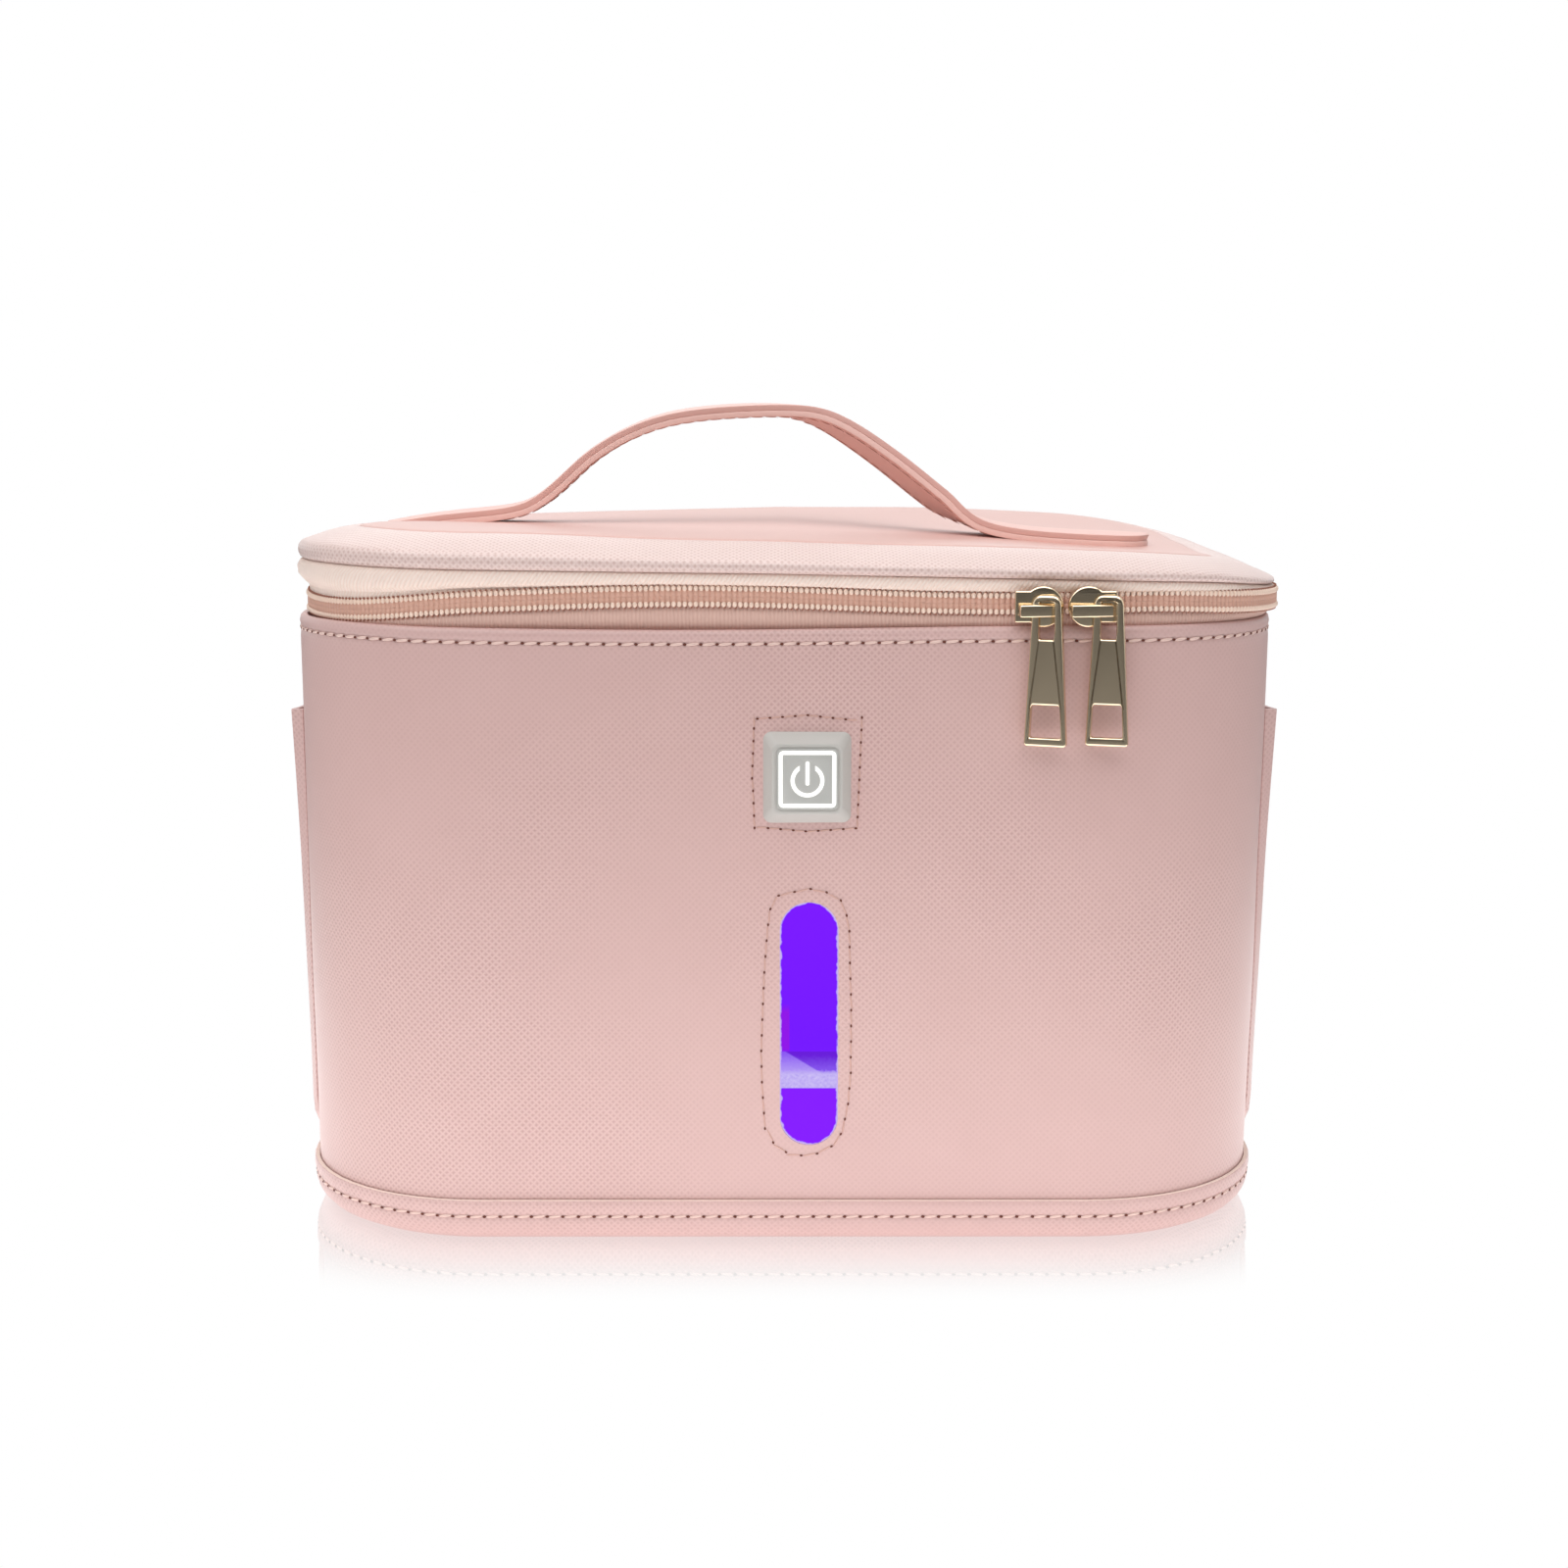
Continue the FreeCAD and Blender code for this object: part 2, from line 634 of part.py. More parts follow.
def light_guide():
    """Square outline and power symbol let into the button's face."""
    ys = (CAP_FRONT, CAP_FRONT + GUIDE)
    inner = GUIDE_FRAME - 2 * GUIDE_STROKE
    frame = rounded_slab(about(BUTTON_X, GUIDE_FRAME), ys, about(BUTTON_Z, GUIDE_FRAME), FORWARD, CAP_ROUND)
    frame = frame.cut(button_block(inner, inner, ys))
    height = BUTTON_Z - SYMBOL_DROP
    middle = Vector(BUTTON_X, CAP_FRONT, height)
    circle = rod(middle, FORWARD, SYMBOL_RADIUS, GUIDE)
    circle = circle.cut(rod(middle, FORWARD, SYMBOL_RADIUS - GUIDE_STROKE, GUIDE))
    circle = circle.cut(slab(about(BUTTON_X, SYMBOL_GAP), ys, (height, height + 2 * SYMBOL_RADIUS)))
    bar = stadium(BUTTON_X, height + SYMBOL_BAR_RISE, GUIDE_STROKE, SYMBOL_BAR, ys)
    return Part.makeCompound([frame, circle, bar])


def button_cap():
    """Pressed key, held in its frame by a lip and standing on the switch's plunger."""
    key = rounded_slab(about(BUTTON_X, CAP), (CAP_FRONT, LIP_BACK), about(BUTTON_Z, CAP), FORWARD, CAP_ROUND)
    lip = button_block(CAP_LIP_WIDTH, CAP_LIP_WIDTH, (LIP_FRONT, LIP_BACK))
    stem = rod(Vector(BUTTON_X, LIP_BACK, BUTTON_Z), FORWARD, STEM_RADIUS, PLUNGER_FRONT - LIP_BACK)
    return joined([key, lip, stem]).cut(light_guide())


def inlet_bezel():
    """Moulded surround that lines the hole for the charging plug."""
    plate = stadium(0, INLET_Z, ESCUTCHEON_WIDTH, ESCUTCHEON_HEIGHT, (BACK, BACK + ESCUTCHEON))
    rim = [edge for edge in plate.Edges if edge.BoundBox.YMin > BACK + ESCUTCHEON / 2]
    plate = plate.makeFillet(ESCUTCHEON_ROUND, rim)
    neck = stadium(0, INLET_Z, NECK_WIDTH, NECK_HEIGHT, (BACK - NECK_DEPTH, BACK))
    mouth = stadium(0, INLET_Z, MOUTH_WIDTH, MOUTH_HEIGHT, (BACK - FOAM, BACK + ESCUTCHEON + OVERRUN))
    return joined([plate, neck]).cut(mouth)


def power_inlet():
    """Metal shell of the charging socket, standing on the driver board."""
    ys = (DRIVER_BACK, DRIVER_BACK + INLET_DEPTH)
    shell = stadium(0, INLET_Z, INLET_WIDTH, INLET_HEIGHT, ys)
    width = INLET_WIDTH - 2 * INLET_WALL
    height = INLET_HEIGHT - 2 * INLET_WALL
    return shell.cut(stadium(0, INLET_Z, width, height, (ys[0] + INLET_WALL, ys[1] + OVERRUN)))


def inlet_tongue():
    start = DRIVER_BACK + INLET_WALL
    return slab(about(0, TONGUE_WIDTH), (start, start + TONGUE_DEPTH), about(INLET_Z, TONGUE))


def driver_board():
    return slab(about(0, DRIVER_WIDTH), (DRIVER_FRONT, DRIVER_BACK), about(INLET_Z, DRIVER_HEIGHT))


def driver_parts():
    """Coil, chip and two capacitors of the lamp driver."""
    coil = slab(about(-PART_SPACING, COIL_WIDTH), (DRIVER_BACK, DRIVER_BACK + COIL_RISE), about(INLET_Z, COIL_WIDTH))
    chip = slab(about(PART_SPACING, CHIP_WIDTH), (DRIVER_BACK, DRIVER_BACK + CHIP_RISE), about(INLET_Z, CHIP_WIDTH))
    cans = [rod(Vector(x, DRIVER_BACK, INLET_Z + PART_RAISE), FORWARD, CAN_RADIUS, CAN_RISE)
            for x in (-PART_SPACING / 2, PART_SPACING / 2)]
    return Part.makeCompound([coil, chip] + cans)


def lid_switch():
    """Magnetic switch under the front of the mouth that tells when the lid is shut."""
    zs = (MOUTH - SENSOR_DROP - SENSOR_HEIGHT, MOUTH - SENSOR_DROP)
    return slab(about(LEAD_X, SENSOR_WIDTH), about(FRONT_LEAD_Y, SENSOR_DEPTH), zs)


def lid_magnet():
    return rod(Vector(LEAD_X, FRONT + MAGNET_INSET, LID_CEILING), UP, MAGNET_RADIUS, MAGNET)


def sloped(height, end):
    """The space between a height that slopes down to the right from the middle and a level above or below it."""
    fall = LID_SLOPE * BAG_WIDTH
    line = [(-BAG_WIDTH, height), (0, height), (BAG_WIDTH, height - fall), (BAG_WIDTH, end), (-BAG_WIDTH, end)]
    corners = [Vector(x, -BAG_DEPTH, z) for x, z in line + line[:1]]
    return Part.Face(Part.makePolygon(corners)).extrude(FORWARD * 2 * BAG_DEPTH)


def over_slope(height):
    return sloped(height, LID_TOP + BAG_DEPTH)


def under_slope(height):
    return sloped(height, 0)


def sloped_layer(inset, low, high):
    """A layer of the lid, its right half sloped down from the middle."""
    return plan(inset, low - LID_SAG, high).cut([over_slope(high), under_slope(low)])


def sunk(solid):
    """A solid with its right half sunk along the lid's slope."""
    right = slab((0, BAG_WIDTH), about(0, 2 * BAG_DEPTH), (0, LID_TOP + BAG_DEPTH))
    slope = FreeCAD.Matrix()
    slope.A31 = -LID_SLOPE
    return joined([solid.cut(right), solid.common(right).transformGeometry(slope)])


def lid_band():
    """Leather edge of the lid: a rolled side with a flange under the top panel's seam."""
    low = LID_SEAM - LID_SAG
    outside = plan(0, low, LID_TOP)
    outside = outside.makeFillet(LID_EDGE, level_edges(outside, LID_TOP, LEATHER))
    inside = plan(LEATHER, low - OVERRUN, LID_TOP - LEATHER)
    inside = inside.makeFillet(LID_CORNER, level_edges(inside, LID_TOP - LEATHER, LEATHER))
    band = sunk(outside.cut([inside, plan(LID_FLANGE, low, LID_TOP + OVERRUN)]))
    return band.cut(slab(about(0, 2 * BAG_WIDTH), about(0, 2 * BAG_DEPTH), (0, LID_SEAM)))


def under_lid(strip):
    """A strip tucked up into the lid's edge, no higher than the edge leaves room."""
    return strip.cut(over_slope(LID_TOP - LEATHER - LID_CORNER))


def lid_top():
    return sloped_layer(LID_FLANGE, LID_TOP - LEATHER, LID_TOP)


def lid_board():
    return sloped_layer(LID_EDGE, LID_BOARD_LOW, LID_TOP - LEATHER)


def lid_foam():
    """Padding of the lid, thinnest at the right, where the lid has sunk."""
    foam = plan(LEATHER + TAPE, LID_CEILING, LID_BOARD_LOW).cut(over_slope(LID_BOARD_LOW))
    return foam.cut([lid_lead(LEAD_FIT), lid_magnet()] + uv_screw_holes(0, LID_SEAM, -1))


def lid_liner():
    foil = plan(LEATHER + TAPE, LID_SEAM, LID_CEILING)
    return foil.cut([lid_lead(LEAD_FIT), hinge_lead(LEAD_FIT)] + uv_screw_holes(0, LID_SEAM, -1))


def strap_root(corner, slope):
    """The bend between a flank and a tab on a slope: its start, middle and end, as reach and height."""
    tilt = radians(FLANK_DEGREES)
    lean = atan(slope)
    length = ROOT_RADIUS * tan((tilt - lean) / 2)
    rise = ROOT_RADIUS / cos((tilt - lean) / 2) - ROOT_RADIUS
    up = (tilt + lean) / 2
    start = (corner[0] - length * cos(tilt), corner[1] + length * sin(tilt))
    middle = (corner[0] + rise * sin(up), corner[1] + rise * cos(up))
    end = (corner[0] + length * cos(lean), corner[1] - length * sin(lean))
    return start, middle, end


def strap_side(crown_end, slope):
    """Flank, root and tab of one side of the handle, from the crown outwards, as reach and height."""
    fall = tan(radians(FLANK_DEGREES))
    seat = STRAP / 2 * (sqrt(1 + slope ** 2) - 1)
    reach = (crown_end[1] - seat + fall * crown_end[0]) / (fall - slope)
    start, middle, end = strap_root((reach, seat - slope * reach), slope)
    tab_end = HANDLE_SPAN / 2 + HANDLE_TAB
    return start, middle, end, (tab_end, seat - slope * tab_end)


def strap_path():
    """Middle line of the handle: tabs that lie on the lid, tight roots, straight flanks and a round crown."""
    tilt = radians(FLANK_DEGREES)
    half = HANDLE_SPAN / 2
    rise = HANDLE_RISE - STRAP
    crown = (half * sin(tilt) - rise * cos(tilt)) / (1 - cos(tilt)) - ROOT_RADIUS
    crown_end = (crown * sin(tilt), rise - crown * (1 - cos(tilt)))

    def at(point, side):
        return Vector(side * point[0], 0, LID_TOP + STRAP / 2 + point[1])

    left = [at(point, -1) for point in strap_side(crown_end, 0)]
    right = [at(point, 1) for point in strap_side(crown_end, LID_SLOPE)]
    ends = (at(crown_end, -1), at(crown_end, 1))
    edges = [Part.makeLine(left[3], left[2])]
    edges.append(Part.Arc(left[2], left[1], left[0]).toShape())
    edges.append(Part.makeLine(left[0], ends[0]))
    edges.append(Part.Arc(ends[0], at((0, rise), 1), ends[1]).toShape())
    edges.append(Part.makeLine(ends[1], right[0]))
    edges.append(Part.Arc(right[0], right[1], right[2]).toShape())
    edges.append(Part.makeLine(right[2], right[3]))
    return Part.Wire(edges)


def strap_solid(width, thick):
    """A flat strip of the given section swept along the handle's middle line."""
    start = -HANDLE_SPAN / 2 - HANDLE_TAB
    middle = LID_TOP + STRAP / 2
    ys = about(0, width)
    zs = about(middle, thick)
    corners = [Vector(start, ys[0], zs[0]), Vector(start, ys[1], zs[0]), Vector(start, ys[1], zs[1]),
               Vector(start, ys[0], zs[1]), Vector(start, ys[0], zs[0])]
    return strap_path().makePipeShell([Part.makePolygon(corners)], True, False)


def arch_span(width):
    return slab(about(0, width), about(0, BAG_DEPTH), (LID_TOP - OVERRUN, LID_TOP + HANDLE_RISE + OVERRUN))


def handle_core():
    return strap_solid(CORE_WIDTH, CORE).common(arch_span(HANDLE_JOIN))


def handle_strap():
    """The free arch of the handle, folded round its stiffener."""
    return strap_solid(STRAP_WIDTH, STRAP).common(arch_span(HANDLE_JOIN)).cut(strap_solid(CORE_WIDTH, CORE))


def handle_tabs():
    """The handle's ends, sewn down to the lid and rising to meet the arch."""
    return strap_solid(STRAP_WIDTH, STRAP).cut(arch_span(HANDLE_JOIN + 2 * HANDLE_GAP))


CHAIN_Y = FRONT + CHAIN_INSET
PLATE_INSIDE = COIL_DEPTH / 2 + CHAIN_CLEARANCE
PLATE_FACE = CHAIN_Y - PLATE_INSIDE - PLATE
BAR_Y = PLATE_FACE - BAIL_STANDOFF
SLIDER_REACH = NOSE_GAP / 2 + SLIDER_LENGTH / 2


def slider_plate(x, ys):
    """Slider plate with a square shoulder on the left and a round nose on the right."""
    nose = rod(Vector(x + SLIDER_LENGTH / 2 - NOSE_RADIUS, ys[0], CHAIN_Z), FORWARD, NOSE_RADIUS, ys[1] - ys[0])
    shoulder = slab((x - SLIDER_LENGTH / 2, x), ys, about(CHAIN_Z, SHOULDER))
    return joined([nose, shoulder])


def left_slider():
    """Two plates joined by a post in the chain's gap, lips under the lower row and a bail in front."""
    x = PARK_X - SLIDER_REACH
    front = (PLATE_FACE, PLATE_FACE + PLATE)
    back = (CHAIN_Y + PLATE_INSIDE, CHAIN_Y + PLATE_INSIDE + PLATE)
    nose = x + SLIDER_LENGTH / 2
    post = slab((nose - NOSE_RADIUS / 2 - POST_LENGTH, nose - NOSE_RADIUS / 2),
                (front[0], back[1]), about(CHAIN_Z, POST))
    shoulder = (x - SLIDER_LENGTH / 2, x)
    lip_zs = (CHAIN_Z - SHOULDER / 2, CHAIN_Z - SHOULDER / 2 + LIP)
    slot = TAPE / 2 + LIP_CLEARANCE
    lips = [slab(shoulder, (front[0], CHAIN_Y - slot), lip_zs), slab(shoulder, (CHAIN_Y + slot, back[1]), lip_zs)]
    solids = [slider_plate(x, front), slider_plate(x, back), post] + lips
    return joined(solids + [slider_bail(x - BAIL_OFFSET)])


def slider_bail(x):
    """Round bar along the chain, on a foot at each end, for the pull to swing on."""
    near = PULL_TOP / 2 + PULL_PLAY
    far = near + BAIL_FOOT
    bar = rod(Vector(x - far, BAR_Y, CHAIN_Z), RIGHT, BAR_RADIUS, 2 * far)
    ys = (BAR_Y - BAR_RADIUS, PLATE_FACE)
    zs = about(CHAIN_Z, 2 * BAR_RADIUS)
    return joined([bar, slab((x - far, x - near), ys, zs), slab((x + near, x + far), ys, zs)])


def left_pull():
    """Tapered pull: a rolled head round the slider's bar, an eye below it and a square window at the foot."""
    x = PARK_X - SLIDER_REACH - BAIL_OFFSET
    ys = about(BAR_Y, PULL)
    foot = CHAIN_Z - PULL_LENGTH
    corners = [Vector(x - PULL_TOP / 2, ys[0], CHAIN_Z), Vector(x + PULL_TOP / 2, ys[0], CHAIN_Z),
               Vector(x + PULL_FOOT / 2, ys[0], foot), Vector(x - PULL_FOOT / 2, ys[0], foot)]
    blade = Part.Face(Part.makePolygon(corners + corners[:1])).extrude(FORWARD * PULL)
    low_edges = [edge for edge in blade.Edges if edge.BoundBox.YLength > PULL / 2
                 and edge.BoundBox.ZMax < foot + PULL]
    blade = blade.makeFillet(PULL_ROUND, low_edges)
    radius = BAR_RADIUS + BAR_CLEARANCE
    head = rod(Vector(x - PULL_TOP / 2, BAR_Y, CHAIN_Z), RIGHT, radius + KNUCKLE, PULL_TOP)
    bore = rod(Vector(x - PULL_FOOT / 2, BAR_Y, CHAIN_Z), RIGHT, radius, PULL_FOOT)
    eye = slab(about(x, EYE_WIDTH), (ys[0] - OVERRUN, ys[1] + OVERRUN), (CHAIN_Z - EYE_LENGTH, CHAIN_Z + BAR_RADIUS))
    window_low = foot + PULL_RAIL
    window = rounded_slab(about(x, PULL_WINDOW_WIDTH), (ys[0] - OVERRUN, ys[1] + OVERRUN),
                          (window_low, window_low + PULL_WINDOW), FORWARD, WINDOW_ROUND)
    return joined([blade, head]).cut([eye, window, bore])


def across(shape):
    """The facing slider or pull, turned about the line where the two noses meet."""
    return shape.mirror(Vector(PARK_X, 0, 0), RIGHT)


PIECES = {
    "outer_wall": outer_wall,
    "base_tray": base_tray,
    "base_board": base_board,
    "base_foam": base_foam,
    "wall_foam": wall_foam,
    "foil_liner": foil_liner,
    "mouth_binding": mouth_binding,
    "lower_zip_tape": lambda: zip_tape(MOUTH, LOWER_COIL_Z),
    "lower_zip_coil": lambda: zip_coil(LOWER_COIL_Z, STOP_LENGTH),
    "zip_stops": zip_stops,
    "hinge_strip": lambda: under_lid(hinge_strip()),
    "window_lens": window_lens,
    "left_pocket": left_pocket,
    "right_pocket": lambda: mirrored(left_pocket()),
    "button_housing": button_housing,
    "button_back": button_back,
    "switch_board": switch_board,
    "tact_switch": tact_switch,
    "inlet_bezel": inlet_bezel,
    "power_inlet": power_inlet,
    "inlet_tongue": inlet_tongue,
    "driver_board": driver_board,
    "driver_parts": driver_parts,
    "lid_switch": lid_switch,
    "front_lead": lambda: front_lead(0),
    "back_lead": lambda: back_lead(0),
    "hinge_lead": lambda: hinge_lead(0),
    "floor_uv_board": lambda: uv_board(FLOOR_UV_Y, FLOOR, 1),
    "floor_uv_leds": lambda: uv_leds(FLOOR_UV_Y, FLOOR, 1),
    "floor_uv_cover": lambda: uv_cover(FLOOR_UV_Y, FLOOR, 1),
    "floor_uv_screws": lambda: uv_screws(FLOOR_UV_Y, FLOOR, 1),
    "button_cap": button_cap,
    "button_light_guide": light_guide,
    "switch_plunger": switch_plunger,
    "lid_top": lid_top,
    "lid_band": lid_band,
    "lid_board": lid_board,
    "lid_foam": lid_foam,
    "lid_liner": lid_liner,
    "lid_magnet": lid_magnet,
    "lid_lead": lambda: lid_lead(0),
    "upper_zip_tape": lambda: under_lid(zip_tape(UPPER_COIL_Z + COIL_HEIGHT, LID_SEAM + LID_TUCK)),
    "upper_zip_coil": lambda: zip_coil(UPPER_COIL_Z, 0),
    "lid_uv_board": lambda: uv_board(0, LID_SEAM, -1),
    "lid_uv_leds": lambda: uv_leds(0, LID_SEAM, -1),
    "lid_uv_cover": lambda: uv_cover(0, LID_SEAM, -1),
    "lid_uv_screws": lambda: uv_screws(0, LID_SEAM, -1),
    "handle_tabs": handle_tabs,
    "handle_strap": handle_strap,
    "handle_core": handle_core,
    "left_slider": left_slider,
    "left_pull": left_pull,
    "right_slider": lambda: across(left_slider()),
    "right_pull": lambda: across(left_pull()),
}

os.makedirs("parts", exist_ok=True)
for name, make in PIECES.items():
    make().exportStep("parts/" + name + ".step")
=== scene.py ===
import json
from math import asin, atan2, cos, pi, radians, sin, tan

import bmesh
import bpy
from mathutils import Matrix, Vector, noise

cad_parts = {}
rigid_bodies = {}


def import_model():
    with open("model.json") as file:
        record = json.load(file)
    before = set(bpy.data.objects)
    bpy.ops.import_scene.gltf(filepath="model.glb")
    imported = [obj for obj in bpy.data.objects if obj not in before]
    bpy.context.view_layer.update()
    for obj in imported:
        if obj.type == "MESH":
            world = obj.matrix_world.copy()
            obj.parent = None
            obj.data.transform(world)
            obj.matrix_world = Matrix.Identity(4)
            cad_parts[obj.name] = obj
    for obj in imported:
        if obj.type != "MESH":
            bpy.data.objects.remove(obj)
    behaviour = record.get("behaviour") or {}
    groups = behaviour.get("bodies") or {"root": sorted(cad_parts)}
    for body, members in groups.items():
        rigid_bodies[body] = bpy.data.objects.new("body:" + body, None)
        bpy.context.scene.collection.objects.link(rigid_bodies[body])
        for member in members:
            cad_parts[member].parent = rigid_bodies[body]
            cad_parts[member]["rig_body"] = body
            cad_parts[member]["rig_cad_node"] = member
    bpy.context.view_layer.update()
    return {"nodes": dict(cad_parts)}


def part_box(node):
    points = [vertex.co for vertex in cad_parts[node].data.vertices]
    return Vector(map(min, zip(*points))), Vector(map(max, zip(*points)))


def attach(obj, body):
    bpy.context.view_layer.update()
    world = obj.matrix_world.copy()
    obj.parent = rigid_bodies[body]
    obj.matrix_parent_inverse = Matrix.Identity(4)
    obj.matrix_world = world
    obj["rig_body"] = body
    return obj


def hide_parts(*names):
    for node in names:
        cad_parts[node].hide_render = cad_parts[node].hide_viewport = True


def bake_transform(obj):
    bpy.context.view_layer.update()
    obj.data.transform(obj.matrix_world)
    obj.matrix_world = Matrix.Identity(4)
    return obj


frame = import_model()

MM = 0.001

# Places taken from the frame

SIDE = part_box("outer_wall")[1].x
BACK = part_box("outer_wall")[1].y
FRONT = -BACK
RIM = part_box("outer_wall")[1].z
LID_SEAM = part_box("lid_band")[0].z
LID_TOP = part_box("lid_band")[1].z
LINING_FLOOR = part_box("floor_uv_board")[0].z
LINING_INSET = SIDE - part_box("foil_liner")[1].x + 0.6 * MM
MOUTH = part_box("foil_liner")[1].z
TRAY_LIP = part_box("base_tray")[1].z
CHAIN = (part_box("lower_zip_coil")[1].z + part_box("upper_zip_coil")[0].z) / 2
HINGE_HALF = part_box("hinge_strip")[1].x
WINDOW_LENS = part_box("window_lens")
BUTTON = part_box("button_housing")
BUTTON_X = (BUTTON[0].x + BUTTON[1].x) / 2
BUTTON_Z = (BUTTON[0].z + BUTTON[1].z) / 2

# The plan of the bag: a rectangle with round corners, divided the same way at every height

CORNER = 46 * MM
RUN = SIDE - CORNER
DEEP = BACK - CORNER
QUARTER = CORNER * pi / 2
HALF_ROUND = 2 * (RUN + QUARTER + DEEP)
CORNER_STEPS = 14
RUN_STEPS = 26
DEEP_STEPS = 14
ROUND_STEPS = 5

# How the soft parts have settled in the photo

LID_SINK = 6.5 * MM
LID_CURL = 3.4 * MM
LID_DIP = 3.2 * MM
SEAM_CURL = 0.45
SEAM_SINK = 0.85
ZIP_WAVE = 0.9 * MM
ZIP_WAVE_PEAK = -22 * MM
ZIP_WAVE_LENGTH = 150 * MM
ZIP_DIP_LEFT = 3.0 * MM
ZIP_DIP_RIGHT = 2.6 * MM
LID_LEAN = 2.4 * MM
ZIP_LEAN = 5.2 * MM
WALL_LEAN_RIGHT = 2.4 * MM
WALL_LEAN_LEFT = 1.0 * MM
WALL_SWELL = 0.35 * MM
RIM_WAVE = 0.5 * MM
RIM_WAVE_PEAK = -25 * MM
RIM_WAVE_LENGTH = 190 * MM
ROLL = 2.6 * MM
TAPE_PUFF = 1.2 * MM
CREASE_LENGTH = 30 * MM
CREASE_HEIGHT = 1.4 * MM


def part_of(value, low, high):
    """How far a value has gone from low to high, from 0 to 1."""
    return min(max((value - low) / (high - low), 0), 1)


def eased(value, low, high):
    """The same, with a slow start and end."""
    part = part_of(value, low, high)
    return part * part * (3 - 2 * part)


def core_of(point):
    """The nearest place to a point on the rectangle that the plan's corners are rounded about."""
    return Vector((min(max(point.x, -RUN), RUN), min(max(point.y, -DEEP), DEEP), point.z))


def outward(point):
    """The way out of the bag at a point near its wall."""
    return (point - core_of(point)).normalized()


def depth_in(point):
    """How far a point lies inside the plan of the bag."""
    return CORNER - (point - core_of(point)).length


def on_plan(along, inset, height):
    """The point at a distance along the plan from the middle of the front, and the way out there."""
    hand = 1 if along >= 0 else -1
    gone = abs(along)
    radius = CORNER - inset
    if gone < RUN:
        spot, way = (gone, -DEEP - radius), (0, -1)
    elif gone < RUN + QUARTER:
        turn = (gone - RUN) / CORNER
        way = (sin(turn), -cos(turn))
        spot = (RUN + radius * way[0], -DEEP + radius * way[1])
    elif gone < RUN + QUARTER + 2 * DEEP:
        spot, way = (RUN + radius, gone - RUN - QUARTER - DEEP), (1, 0)
    elif gone < RUN + 2 * QUARTER + 2 * DEEP:
        turn = (gone - RUN - QUARTER - 2 * DEEP) / CORNER
        way = (cos(turn), sin(turn))
        spot = (RUN + radius * way[0], DEEP + radius * way[1])
    else:
        spot, way = (HALF_ROUND - gone, DEEP + radius), (0, 1)
    return Vector((hand * spot[0], spot[1], height)), Vector((hand * way[0], way[1], 0))


def along_plan(point):
    """The distance of a point on the right half of the bag along the plan, from the middle of the front."""
    across = abs(point.x)
    if point.y < -DEEP:
        return across if across < RUN else RUN + CORNER * atan2(across - RUN, -point.y - DEEP)
    if point.y <= DEEP:
        return RUN + QUARTER + DEEP + point.y
    if across < RUN:
        return HALF_ROUND - across
    return RUN + QUARTER + 2 * DEEP + CORNER * atan2(point.y - DEEP, across - RUN)


def zip_wave(point):
    """The lie of the zip: a slow wave along the front, and a dip at both ends."""
    front = eased(point.y, -30 * MM, -75 * MM)
    wave = ZIP_WAVE * cos(2 * pi * (point.x - ZIP_WAVE_PEAK) / ZIP_WAVE_LENGTH) * front
    left = ZIP_DIP_LEFT * eased(-point.x, 70 * MM, 116 * MM)
    right = ZIP_DIP_RIGHT * eased(point.x, 80 * MM, 116 * MM)
    return (wave - left - right) * eased(point.y, 70 * MM, 10 * MM)


def lid_sink(point):
    """How far the lid has sunk on its right half: most across its middle, little along its front and back."""
    right = part_of(point.x, 0, SIDE)
    front = eased(point.y, -20 * MM, -80 * MM)
    back = eased(point.y, 20 * MM, 80 * MM)
    middle = sin(right * pi / 2) ** 1.2 * (1 - front - back)
    return LID_SINK * (middle + (0.45 * right + 0.55 * right ** 8) * front + 0.95 * right ** 4 * back)


def lid_curl(point):
    """How far the lid has lifted at its front left corner."""
    left = part_of(-point.x, 0, SIDE)
    front = eased(point.y, BACK, FRONT)
    return left * (LID_CURL * front - LID_DIP * (1 - front))


def lean(point, most):
    """How far a part leans out at the right end of the bag."""
    return most * eased(point.x, 40 * MM, SIDE) * (0.3 + 0.7 * eased(point.y, 70 * MM, 0))


def settle_above(point):
    """The shift of the lid and upper zip at a point."""
    low = part_of(point.z, CHAIN, LID_SEAM)
    high = part_of(point.z, LID_SEAM, LID_SEAM + ROLL)
    drop = lid_curl(point) * (SEAM_CURL * low + (1 - SEAM_CURL) * high)
    drop -= lid_sink(point) * (SEAM_SINK * low + (1 - SEAM_SINK) * high)
    drop += zip_wave(point) * (1 - eased(point.z, CHAIN, LID_SEAM))
    return Vector((lean(point, ZIP_LEAN + (LID_LEAN - ZIP_LEAN) * low), 0, drop))


def settle_below(point):
    """The shift of the lower zip at a point."""
    high = eased(point.z, RIM - 2 * MM, CHAIN)
    most = WALL_LEAN_RIGHT + (ZIP_LEAN - WALL_LEAN_RIGHT) * high
    return Vector((lean(point, most), 0, zip_wave(point) * high))


# Modelling steps


def pick(*pieces):
    """Selects these pieces alone, the first of them active."""
    bpy.ops.object.select_all(action="DESELECT")
    for piece in pieces:
        piece.select_set(True)
    bpy.context.view_layer.objects.active = pieces[0]


def fresh(maker, name="", **settings):
    """A new simple mesh from one of Blender's makers, selected alone."""
    bpy.ops.object.select_all(action="DESELECT")
    maker(**settings)
    made = bpy.context.object
    made.name = name or made.name
    return made


def shape(piece, kind, **settings):
    """Adds a modifier with its settings and applies it."""
    pick(piece)
    modifier = piece.modifiers.new(kind.lower(), kind)
    for key, value in settings.items():
        setattr(modifier, key, value)
    bpy.ops.object.modifier_apply(modifier=modifier.name)


